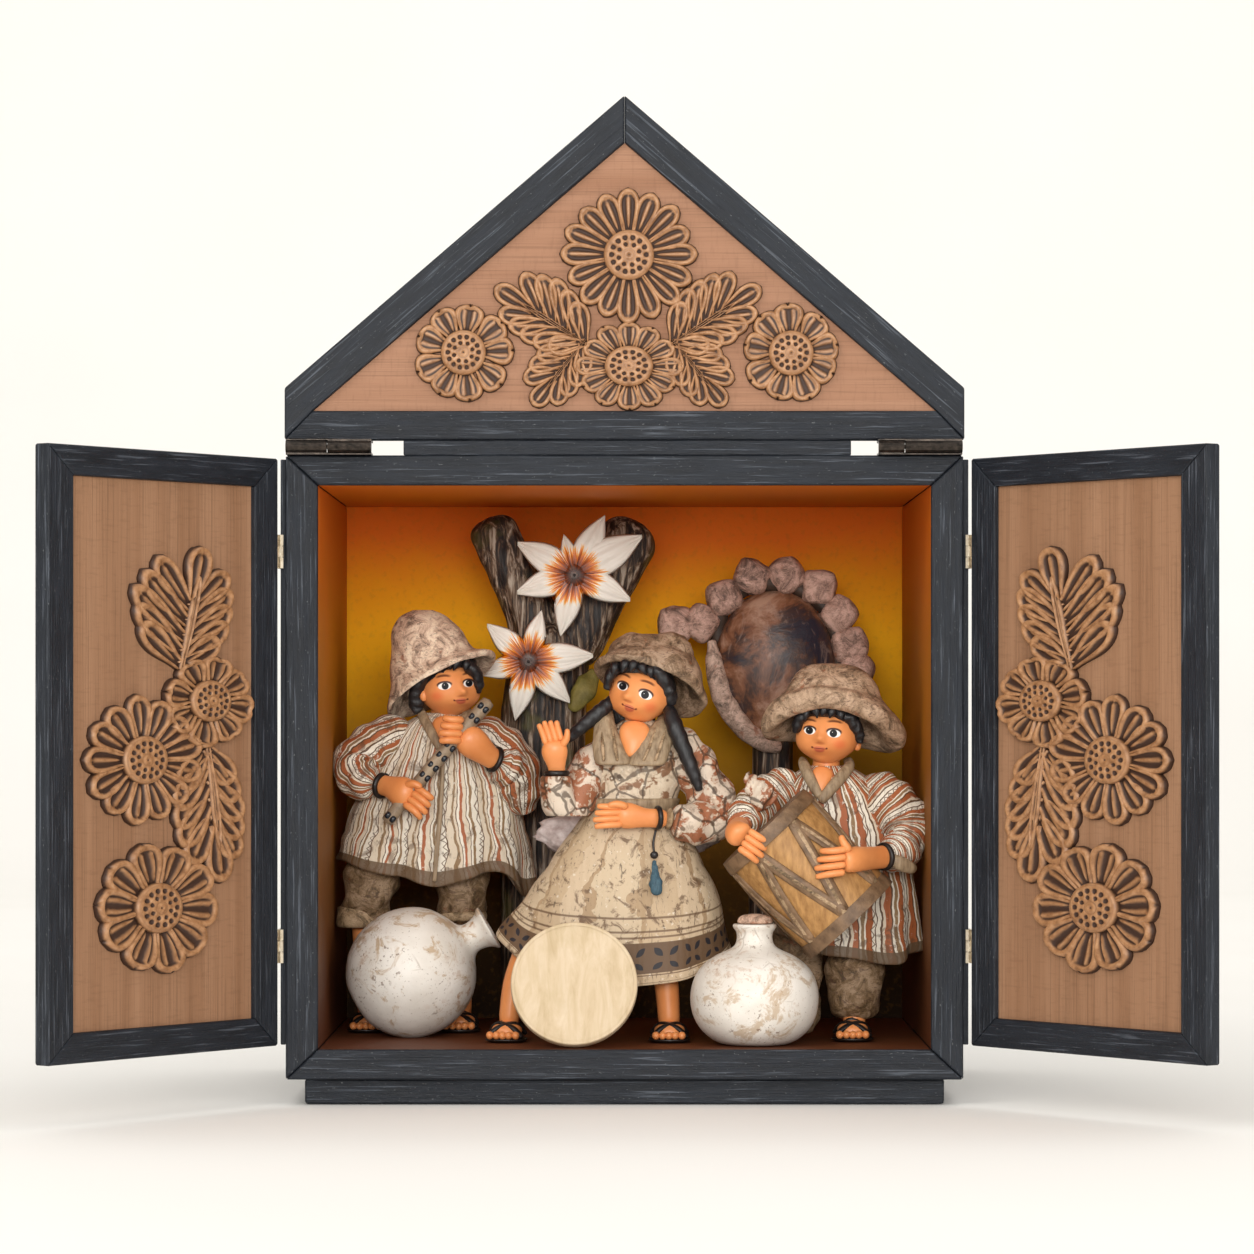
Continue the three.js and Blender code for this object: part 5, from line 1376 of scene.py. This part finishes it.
# %% Sleeves and scarf
for points, radii in (
    ([(-11, 0, 122), (-20, -3, 115), (-29, -9, 108), (-35, -17, 102.5), (-37.4, -26, 99.6)],
     [7, 10.4, 10.4, 9.6, 7.4]),
    ([(20, 0, 121), (28, -3, 113), (37, -8, 103), (39.5, -12, 95), (37, -18, 89)], [8, 12, 12, 11.4, 8.4]),
    ([(39, -12, 97), (36, -20, 89), (31, -27, 86), (28.5, -31, 85.4)], [8, 9.2, 7.4, 5.4]),
):
    drummer.limb(drum_sleeve, points, radii, 40, 44, shape=creased(1.2, 5, 0.8))
drummer.limb(COLLAR, [(29.5, -36, 85.4), (35, -35, 82.6), (42, -31, 79.6)], [2.0, 3.4, 2.2], 16, 16, 0.5)
drummer.limb(sleeve_cloth, [(-34.8, -20, 124), (-31, -24, 117), (-24, -25, 109)], [0.9, 4.6, 6.4], 28, 28,
             0.5, shape=creased(1.3, 4, 0.3))
bracelet(drummer, (27.2, -33.6, 85.8), (-0.75, -0.65, -0.05), 5.4)


# %% Drum with its rims and lacing
def on_way(angle):
    """The direction straight out of the drum's side at an angle."""
    return tuple(ASIDE * math.cos(math.radians(angle)) + UPWARD * math.sin(math.radians(angle)))


START, END, DRUM_R = Vector((-27.2, -30, 99)), Vector((11.8, -30, 57.3)), 24.4
AXIS = (END - START).normalized()
ASIDE = Vector((0, -1, 0))
UPWARD = AXIS.cross(ASIDE)


def on_drum(run, angle, lift=0.0):
    """A point on the drum's side: run 0 to 1 along it, angle from straight ahead."""
    radius = DRUM_R * (1 + 0.035 * math.sin(math.pi * run)) + lift
    a = math.radians(angle)
    return tuple(START + (END - START) * run + (ASIDE * math.cos(a) + UPWARD * math.sin(a)) * radius)


def drum_slice(paint, rows, count):
    """A round slice of the drum from rows of (run along it, radius)."""
    def place(u, row):
        t = min(max((row - 1) / (count - 2), 0.0), 1.0)
        run, radius = glide(rows, t)
        centre = START + (END - START) * run
        if row in (0, count):
            return tuple(centre)
        a = 2 * math.pi * u
        return tuple(centre + (ASIDE * math.cos(a) + UPWARD * math.sin(a)) * radius)

    drummer.bend(paint, 72, count, place)


drum_slice(drum_wood, [(0, 12), (0, 24.0), (0.015, 24.5), (0.3, 25.2), (0.7, 25.2), (0.985, 24.5),
                       (1, 24.0), (1, 12)], 26)
for run0, run1 in ((-0.012, 0.10), (0.90, 1.012)):
    drum_slice(leather, [(run0, 18), (run0, 24.6), (run0 + 0.01, 25.4),
                         (run1 - 0.01, 26.2 if run0 < 0.5 else 25.8), (run1, 25.2), (run1, 18)], 16)
for i, angle in enumerate(range(-78, 79, 26)):
    run0, run1 = (0.09, 0.91) if i % 2 == 0 else (0.91, 0.09)
    for paint, wide, lift in ((leather, 2.9, 0.5), (CUFF, 1.5, 1.0)):
        drummer.limb(paint, [on_drum(run0, angle, lift), on_drum(0.5, angle + 13, lift + 0.2),
                             on_drum(run1, angle + 26, lift)],
                     [wide] * 3, 12, 22, 0.34, on_way(angle + 13))

# %% Hands on the drum, legs and foot
drummer.limb(SKIN, [(30, -31, 86), (22, -40, 85.4), (13, -52, 85.2), (7, -56, 84.8)], [5.4, 5.2, 5.8, 5.4],
             20, 20, 0.8)
fingers(drummer, (5.5, -57.5, 84.4), (-1, 0.05, -0.12), (0.1, 0, 1), 11, 10.5, (0, -0.9, 0), radius=1.6)
drummer.limb(SKIN, [(10.5, -57.5, 89.0), (7.6, -58.0, 93.0), (6.4, -57.2, 96.2)], [2.1, 1.8, 1.3], 12, 10)
drummer.limb(SKIN, [(-37, -27, 99.6), (-39.4, -38, 98.8), (-39.6, -47, 97), (-38.2, -52, 95.0)],
             [5.0, 5.0, 6.2, 5.6], 20, 16, 0.85)
fingers(drummer, (-34.6, -54.2, 92.6), (0.82, 0.05, -0.55), (0.5, 0, 0.86), 8.6, 9.2, (0, -0.9, 0),
        radius=1.6)
drummer.limb(TROUSERS, [(15, 0, 56), (15.4, 0, 36), (15.6, -1, 9)], [12.6, 13, 13.4], 40, 36, 0.9,
             shape=creased(1.3, 3, 0.2))
drummer.limb(TROUSERS, [(-12, 6, 62), (-11, 6, 36), (-11, 6, 2)], [11.6, 11.4, 10.4], 30, 26, 0.8,
             shape=wobble(1.7, 0.15, 3))
drummer.limb(SKIN, [(15.4, -1, 22), (15.2, -2, 12), (15, -3, 6)], [5.6, 5.4, 5], 18, 10)
foot(drummer, 14, -5)
drummer.finish("drummer_modelled", "case", ["figure_drum_boy"])


# %% [markdown]
# ## Jars and disc
# The jars are white clay, thrown on a wheel or smoothed as if they were, and the disc is
# a pale drum skin on a hoop. All of them are round about one axis, so each is a profile
# that is smoothed and spun, with a full turn merged at its seam. The jars keep their
# hollow. The round jar lies tipped on its side, and the disc leans.

# %% Jars and disc
def spun(name, profile, place, paint, node, steps=96, soften=0.0):
    """A profile of (radius, height) pairs spun about Z, then placed."""
    bm = bmesh.new()
    bm.loops.layers.uv.new("UVMap")
    points = [tuple(glide(profile, i / 90)) for i in range(91)]
    points[0] = (0.0, points[0][1])
    points[-1] = (0.0, points[-1][1])
    verts = [bm.verts.new((max(r, 0.0) * MM, 0, z * MM)) for r, z in points]
    edges = [bm.edges.new(pair) for pair in zip(verts, verts[1:])]
    bmesh.ops.spin(bm, geom=verts + edges, cent=(0, 0, 0), axis=(0, 0, 1), angle=2 * math.pi, steps=steps,
                   use_merge=True)
    bmesh.ops.remove_doubles(bm, verts=bm.verts, dist=1e-6)
    for v in bm.verts:
        push = 1 + soften * noise.noise(v.co * 28)
        v.co = Vector((v.co.x * push, v.co.y * push, v.co.z))
    bmesh.ops.transform(bm, matrix=place, verts=bm.verts)
    return piece(name, bm, paint, "case", [node])


def glaze(name, seed, amount):
    p = Paint(name)
    spot = p.place(shift=(seed, 0, 0))
    base = p.ramp(p.noise(spot, 40, 3), [(0.3, (0.66, 0.61, 0.54)), (0.7, (0.83, 0.79, 0.73))])
    patch = p.step(p.noise(spot, 26, 3, 0.5), 0.46, 0.62)
    stain_at = p.times(patch, p.step(p.noise(spot, 210, 5, 0.7), 0.5, 0.62))
    crack = p.step(p.cells(p.place(shift=(seed, 0, 0)), 75, "DISTANCE_TO_EDGE"), 0.035, 0.0)
    crack = p.times(crack, p.step(p.noise(spot, 34, 2), 0.56, 0.66))
    color = p.cover(base, (0.40, 0.21, 0.09), stain_at, amount)
    color = p.cover(color, (0.2, 0.11, 0.055), crack, 0.4)
    rubbed = p.times(p.step(p.noise(spot, 60, 5, 0.75, 0.8), 0.53, 0.62), amount * 0.9)
    color = p.mix(rubbed, color, (0.44, 0.29, 0.15))
    pits = p.times(p.step(p.noise(spot, 420, 3, 0.7), 0.60, 0.66), p.step(p.noise(spot, 38, 3), 0.5, 0.6))
    color = p.cover(color, (0.15, 0.075, 0.035), pits, 0.7)
    speck = p.step(p.noise(spot, 900, 2, 0.5), 0.66, 0.72)
    color = p.cover(color, (0.22, 0.15, 0.10), speck, 0.5)
    height = p.less(p.noise(spot, 300, 4, 0.6), p.times(crack, 0.7))
    return p.done(color, 0.42, p.bump(height, 0.35, 0.0006), specular=0.45)


ROUND_JAR = [
    (0, -30), (6, -29.8), (12, -28.5), (18, -25), (23.5, -20), (28, -12.5), (30.2, -3), (29.8, 6),
    (26.6, 15), (21.4, 21.8), (15, 26.2), (9.4, 29), (7.4, 31.4), (7.2, 34.6), (8.4, 38.4), (10.6, 41),
    (10.4, 42), (8.8, 41.2), (5.6, 37.6), (4.6, 33.8), (4.6, 28), (10, 23), (17, 17.6), (22.6, 9),
    (24.4, 0), (22.4, -10), (15, -20), (6, -24), (0, -24.5),
]
LONG_JAR = [
    (0, 0), (7, 0), (13.5, 0.3), (19, 2.2), (24.6, 7), (28.2, 13.6), (29.4, 21.6), (28, 29.4),
    (24.4, 35.6), (18.4, 40.4), (12.4, 43.2), (9.2, 45.4), (8.2, 48.4), (8.4, 51.4), (9.8, 53.6),
    (9.8, 54.9), (8.4, 55.2), (6.8, 54.4), (6.0, 50), (6.0, 46.6), (7.4, 41), (13, 37), (19.6, 31.4),
    (23.4, 22), (21.6, 13), (15, 7.4), (7, 6), (0, 6),
]


def moved(x, y, z):
    return Matrix.Translation(Vector((x, y, z)) * MM)


def rotated(degrees, axis):
    return Matrix.Rotation(math.radians(degrees), 4, axis)


tipped = moved(-99.5, -30, SEAT + 30.2) @ rotated(60, "Y")
spun("jar_round_spun", ROUND_JAR, tipped, glaze("jar_round_glaze", 0.0, 0.85), "jar_round",
     soften=0.012)
spun("jar_long_neck_spun", LONG_JAR, moved(59.4, -83, SEAT), glaze("jar_long_glaze", 4.0, 0.7),
     "jar_long_neck", soften=0.012)
STOPPER = [(0, 0), (3.5, 0), (5, 0.4), (5.1, 4), (5.3, 8.4), (7.4, 8.7), (8, 9.6), (7.4, 11.2), (5.4, 12.4),
           (2.6, 13), (0, 13.1)]
spun("jar_stopper_spun", STOPPER, moved(59.4, -83, SEAT + 46.7),
     hat_paint("stopper_paint", (0.55, 0.36, 0.26), 12.0), "jar_stopper", 40, 0.05)


def hide():
    p = Paint("drum_hide")
    spot = p.place()
    streak = p.noise(p.place(scale=(170, 40, 40)), 1, 5, 0.65, 0.6)
    cloud = p.noise(spot, 45, 3)
    color = p.ramp(streak, [(0.3, (0.50, 0.38, 0.23)), (0.5, (0.60, 0.475, 0.315)),
                            (0.72, (0.68, 0.56, 0.41))])
    color = p.cover(color, (0.46, 0.35, 0.19), p.step(cloud, 0.5, 0.7), 0.3)
    return p.done(color, 0.6, p.bump(streak, 0.15, 0.0005), specular=0.3)


DISC = [(0, 0), (14, 0), (25, 0), (28, 0.2), (28.7, 1.2), (28.7, 4.8), (28.2, 5.8), (27, 5.7), (26.2, 5.3),
        (14, 5.4), (0, 5.5)]
leaning = moved(-22.8, -101, SEAT + 29.2) @ rotated(-18, "X") @ rotated(90, "X") @ moved(0, 0, -6)
spun("drum_disc_spun", DISC, leaning, hide(), "drum_disc")

print("jars, stopper and disc spun")


# %% [markdown]
# ## Tree
# The tree is a forked trunk of dark bark with a pale grain. It could be one skinned
# graph, but three limbs that run into each other look the same from the front and keep
# clean ridges: their bark is pushed out by noise that is stretched along each limb.

# %% Bark and tree
def bark():
    p = Paint("bark_paint")
    spot = p.place()
    streak = p.noise(p.place(scale=(330, 330, 26)), 1, 5, 0.65, 0.7)
    base = p.ramp(streak, [(0.36, (0.008, 0.007, 0.007)), (0.48, (0.035, 0.025, 0.021)),
                           (0.55, (0.16, 0.10, 0.06)), (0.64, (0.50, 0.42, 0.33))])
    moss = p.times(p.step(p.noise(spot, 34, 3), 0.56, 0.66), 0.6)
    color = p.mix(moss, base, (0.10, 0.085, 0.012))
    return p.done(color, 0.5, p.bump(streak, 0.9, 0.0016), specular=0.4)


def furrows(depth, count, seed):
    """Bark ridges that run along a limb."""
    def shape(u, t, point, centre):
        out = point - centre
        ridge = noise.noise(Vector((math.sin(6.283 * u) * count, math.cos(6.283 * u) * count,
                                    t * 1.6 + seed)))
        push = depth * (ridge + 0.35 * noise.noise(point * 0.12))
        return point + out.normalized() * push if out.length > 2 else point
    return shape


BARK = bark()
CUT = plain("cut_wood", (0.012, 0.008, 0.007), (0.07, 0.045, 0.03), 160, 0.6, 0.7, 0.0012)
tree = Model(0, 54)
tree.limb(BARK, [(-37, 0, 0), (-38, 0, 60), (-40, 0, 120), (-38, 0, 165), (-33, 0, 196)],
          [23.5, 22.5, 21, 19.6, 16], 72, 70, 0.98, shape=furrows(2.2, 2.6, 1))
for points, radii, seed in (
    ([(-37, 0, 176), (-46, 0.6, 200), (-57, 1.2, 224), (-66.5, 2, 246)], [16, 12.6, 11.4, 11.2], 4),
    ([(-31, 0, 176), (-18, 0.4, 202), (-6, 0.8, 222), (7, 1, 244)], [16.5, 14.8, 14.2, 14.2], 7),
):
    tree.limb(BARK, points, radii, 56, 50, 0.9, shape=furrows(1.6, 2.4, seed))
    end, before = Vector(points[-1]), Vector(points[-2])
    way = (end - before).normalized()
    tree.limb(CUT, [tuple(end - way * 4), tuple(end + way * 0.2)], [radii[-1] * 0.8, radii[-1] * 0.72], 30,
              8, 0.9, shape=wobble(1.2, 0.2, seed))
tree.limb(plain("moss_paint", (0.10, 0.085, 0.015), (0.27, 0.215, 0.05), 130, 0.6, 0.6, 0.001),
          [(-25, -17, 152), (-19, -15.6, 163), (-14, -12, 172)], [2, 6, 2], 20, 16, 0.5,
          shape=wobble(1.4, 0.2, 3))
tree.finish("tree_modelled", "case", ["tree"])

print("tree modelled")


# %% [markdown]
# ## Star flowers
# Two large star flowers hang before the fork. Each blade is thin and slightly folded
# along its middle, so it is a grid bent to a pointed outline and given its thickness by
# solidify. The orange centre is painted by distance from the middle, torn into rays by
# noise that only depends on the angle.

# %% Star flowers
def star_paint(name, model):
    p = Paint(name)
    spot = p.place(shift=tuple(-value * MM for value in model.origin))
    x, z = p.axis(spot, "X"), p.axis(spot, "Z")
    far = p.times(p.math("SQRT", p.plus(p.times(x, x), p.times(z, z))), 1000)
    angle = p.math("ARCTAN2", z, x)
    turn = p.node("ShaderNodeCombineXYZ", X=p.math("COSINE", angle), Y=p.math("SINE", angle),
                  Z=0.0).outputs[0]
    rays = p.noise(turn, 13, 4, 0.8)
    reach = p.less(far, p.times(p.less(rays, 0.47), 26))
    color = p.ramp(p.math("DIVIDE", reach, 17), [
        (0.14, (0.035, 0.008, 0.002)), (0.36, (0.24, 0.040, 0.002)), (0.58, (0.74, 0.17, 0.002)),
        (0.68, (0.88, 0.44, 0.03)), (0.74, (0.82, 0.78, 0.70)),
    ])
    cloud = p.noise(p.place(), 160, 3)
    color = p.cover(color, (0.55, 0.50, 0.42), p.step(cloud, 0.56, 0.75), 0.2)
    return p.done(color, 0.38, p.bump(cloud, 0.15, 0.0005), specular=0.45)


BUTTON = plain("button_paint", (0.10, 0.085, 0.08), (0.32, 0.27, 0.25), 300, 0.4)
for name, spot, petals in (
    ("upper", (-24, 30, 217.5), [(62, 31), (29, 37), (-25, 29.5), (-103, 30), (-162, 29), (152, 31),
                                 (106, 19)]),
    ("lower", (-46, 28, 176), [(75, 24), (4, 31), (-45, 28), (-103, 29), (-163, 23), (140, 26)]),
):
    star = Model(*spot)
    paint = star_paint(f"star_{name}_paint", star)
    for index, (angle, length) in enumerate(petals):
        a = math.radians(angle)
        way, aside = Vector((math.cos(a), 0, math.sin(a))), Vector((-math.sin(a), 0, math.cos(a)))
        part = bmesh.new()
        part.loops.layers.uv.new("UVMap")
        bmesh.ops.create_grid(part, x_segments=12, y_segments=22, size=1, calc_uvs=True)
        for v in part.verts:
            across, run = v.co.x, (v.co.y + 1) / 2
            swell = (0.30 + 0.70 * math.sin(math.pi * min(1.0, 0.12 + run * 0.66))) * (1 - run ** 3.2) + 0.02
            half = length * 0.235 * swell
            edge = abs(across) ** 3
            up = 2.0 + 1.5 * math.sin(math.pi * min(1, run * 0.9)) + 0.7 * bell(across, 0, 0.25)
            up = up - 1.3 * edge - 2.6 * run ** 3
            up += 0.8 * bell(abs(across), 0.72, 0.2)
            flat = way * (run * length) + aside * (across * half)
            v.co = star.world(flat.x, -up - (0.18 if index % 2 else 0), flat.z)
        bmesh.ops.solidify(part, geom=part.faces[:] + part.edges[:] + part.verts[:], thickness=-0.0016)
        star.take(part, paint)
    star.ball(paint, (0, -1.6, 0), (6.5, 2.6, 6.5), around=30)
    star.ball(BUTTON, (0, -4.2, 0), (2.0, 1.3, 2.0), around=20)
    star.ball(STRAP, (0, -5.2, 0), (0.8, 0.7, 0.8), around=12)
    star.finish(f"star_flower_{name}_modelled", "case", [f"star_flower_{name}"])

print("star flowers modelled")


# %% [markdown]
# ## Fruit pod
# The pod is a dark egg in a groove, half ringed with round lumps of paste and half by a
# smooth rim, on a thin trunk. Each lump is a ball pulled towards a cube and dented by its
# own noise, so no two are alike.

# %% Fruit pod
pod = Model(0, 56)


def pod_skin():
    p = Paint("pod_paint")
    cloud = p.noise(p.place(), 42, 5, 0.65, 0.5)
    veins = p.noise(p.place(scale=(150, 150, 60)), 1, 5, 0.7, 1.0)
    color = p.ramp(cloud, [
        (0.38, (0.020, 0.019, 0.032)), (0.46, (0.060, 0.030, 0.022)), (0.53, (0.21, 0.085, 0.04)),
        (0.64, (0.42, 0.25, 0.17)),
    ])
    color = p.cover(color, (0.33, 0.22, 0.17), p.step(veins, 0.56, 0.68), 0.5)
    return p.done(color, 0.46, p.bump(cloud, 0.5, 0.002), specular=0.5)


POD = pod_skin()
STONE = hat_paint("stone_paint", (0.40, 0.245, 0.19), 17.0, 0.6)
GROOVE = plain("groove_paint", (0.02, 0.012, 0.008), (0.07, 0.04, 0.026), 200, 0.6)
RIM = hat_paint("rim_paint", (0.44, 0.31, 0.24), 23.0, 0.5)
pod.ball(POD, (73, 0, 174), (29.4, 15, 37), around=64, shape=lumps(0.03, 3))
pod.limb(GROOVE, [(46, 3, 184), (47, 1, 203), (60, 0, 213), (79, 0, 214), (96, 0, 205), (103, 0, 188),
                  (104, 2, 170)], [4.2] * 7, 20, 50, shape=wobble(1, 0.2, 3))
for index, (x, z) in enumerate([(25, 194.5), (37, 195.4), (48.5, 207.5), (61.9, 217.5), (78.9, 218.3),
                                (94.4, 212.5), (104, 199.3), (109.2, 184.7), (112.5, 172)]):
    def stone(unit, local, index=index):
        corner = max(abs(unit.x), abs(unit.z), abs(unit.y)) ** 0.5
        dent = 1 + 0.10 * noise.noise(unit * 1.6 + Vector((index * 3.1, 0, 0)))
        return local * (1.03 / (0.1 + 0.9 * corner)) ** 0.85 * dent
    pod.ball(STONE, (x, 0.5, z), (8.6, 8.2, 8.8), (0, 37 * index, 0), 28, stone)
pod.limb(GROOVE, [(25, 3, 194), (38, 3, 192), (52, 3, 188)], [4, 4, 4], 14, 12)
pod.limb(RIM, [(42.5, -4, 187), (43.6, -6, 176), (46.0, -7, 164), (51.6, -7.6, 152), (60, -8, 142),
               (69, -7, 136.4), (76, -5, 134.5)],
         [2.2, 4.2, 5.0, 5.2, 5.0, 4.2, 2.4], 28, 60, 0.95, shape=wobble(0.9, 0.15, 6))
pod.limb(BARK, [(72, 6, 0), (72, 5.4, 60), (72, 4.6, 110), (72, 4, 150)], [12.6, 11.6, 10.4, 9.6], 36, 40,
         shape=furrows(1.2, 2, 3))
pod.finish("fruit_pod_modelled", "case", ["fruit_pod"])

# %% [markdown]
# ## Hinges
# The hinges are bought ones, small brass ones at the doors and dark steel ones at the
# gable. Their solids have the right form already, so they are left as they are and only
# take their metal.

# %% Hinges
BRASS = plain("brass_metal", (0.56, 0.47, 0.33), (0.80, 0.72, 0.58), 500, 0.35, 0.2, metallic=0.85)
STEEL = plain("steel_metal", (0.012, 0.011, 0.010), (0.07, 0.055, 0.045), 500, 0.35, 0.3, metallic=0.85)
hinges = [name for name in frame["nodes"] if "hinge_" in name and "stile" not in name and "strip" not in name]
for name in sorted(hinges):
    mesh = frame["nodes"][name].data
    mesh.materials.clear()
    mesh.materials.append(STEEL if "pediment" in name or "case_top" in name else BRASS)
print("hinges:", len(hinges))


# %% [markdown]
# ## Studio
# The box stands on pale paper that curves up behind it, in soft light from the front and
# from above. The floor is a grid whose back edge is pulled up and rounded by a bevel. A
# long lens far away keeps the frame straight, and the camera looks level, with its
# picture shifted up a little instead of tilted.

# %% Paper floor
FLOOR_HALF, WALL_HEIGHT, JUST_BELOW = 4, 5, 0.0004


def studio():
    floor = bmesh.new()
    bmesh.ops.create_grid(floor, x_segments=1, y_segments=1, size=FLOOR_HALF)
    back = [e for e in floor.edges if all(v.co.y > 3 for v in e.verts)]
    bmesh.ops.translate(floor, verts=floor.verts, vec=(0, 0, -JUST_BELOW))
    risen = bmesh.ops.extrude_edge_only(floor, edges=back)["geom"]
    top = [g for g in risen if isinstance(g, bmesh.types.BMVert)]
    bmesh.ops.translate(floor, verts=top, vec=(0, 0, WALL_HEIGHT))
    curve = [e for e in floor.edges if all(v.co.y > 3 and v.co.z < 1 for v in e.verts)]
    bmesh.ops.bevel(
        floor, geom=curve, offset=1.5, offset_type="OFFSET", segments=12, affect="EDGES", profile=0.5,
        material=-1,
    )
    mesh = bpy.data.meshes.new("floor")
    floor.to_mesh(mesh)
    floor.free()
    p = Paint("floor_paper")
    haze = p.noise(p.place(), 2, 2)
    tone = p.ramp(haze, [(0.3, (0.90, 0.885, 0.85)), (0.7, (0.93, 0.915, 0.885))])
    mesh.materials.append(p.done(tone, 0.9, specular=0.1))
    mesh.polygons.foreach_set("use_smooth", [True] * len(mesh.polygons))
    made = bpy.data.objects.new("floor", mesh)
    bpy.context.scene.collection.objects.link(made)
    return made


# %% Lamps and world
def lamp(name, place, aim, size, power, color):
    data = bpy.data.lights.new(name, "AREA")
    data.shape = "RECTANGLE"
    data.size, data.size_y = size
    data.energy = power
    data.color = color
    made = bpy.data.objects.new(name, data)
    made.location = place
    made.rotation_euler = (Vector(aim) - Vector(place)).to_track_quat("-Z", "Y").to_euler()
    bpy.context.scene.collection.objects.link(made)
    return made


lamps = [
    lamp("key", (-1.5, -2.4, 1.9), (0, 0, 0.2), (1.8, 1.4), 27, (1.0, 0.97, 0.92)),
    lamp("fill", (1.8, -2.3, 1.0), (0, 0, 0.2), (1.8, 1.8), 15, (1.0, 0.98, 0.95)),
    lamp("front", (0.0, -3.4, 0.75), (0, 0, 0.16), (1.6, 0.9), 62, (1.0, 0.98, 0.95)),
    lamp("backdrop", (0.0, 1.4, 3.4), (0, 4.2, 1.2), (4.0, 1.5), 50, (1.0, 0.985, 0.955)),
    lamp("top", (0.0, 0.1, 2.6), (0, 0.2, 0.2), (3.0, 3.0), 22, (1.0, 0.98, 0.95)),
]
studio()

world = bpy.data.worlds.new("studio")
world.use_nodes = True
world.node_tree.nodes["Background"].inputs["Color"].default_value = (1.0, 0.975, 0.94, 1)
world.node_tree.nodes["Background"].inputs["Strength"].default_value = 0.5
bpy.context.scene.world = world
bpy.context.scene.view_settings.view_transform = "Standard"

print("lamps:", len(lamps))

# %% Camera
LENS, CAMERA_AWAY, EYE_HEIGHT = 134.0, 2.1, 0.1755
camera = bpy.data.objects.new("camera", bpy.data.cameras.new("camera"))
camera.data.lens = LENS
camera.data.sensor_width = 36.0
camera.data.shift_x = 0.002
camera.data.shift_y = 0.0702
camera.data.clip_end = 30
camera.location = (0, front_y - CAMERA_AWAY, EYE_HEIGHT)
camera.rotation_euler = (math.radians(90), 0, 0)
bpy.context.scene.collection.objects.link(camera)
bpy.context.scene.camera = camera

print("camera", CAMERA_AWAY, "m before the box, at", EYE_HEIGHT, "m")
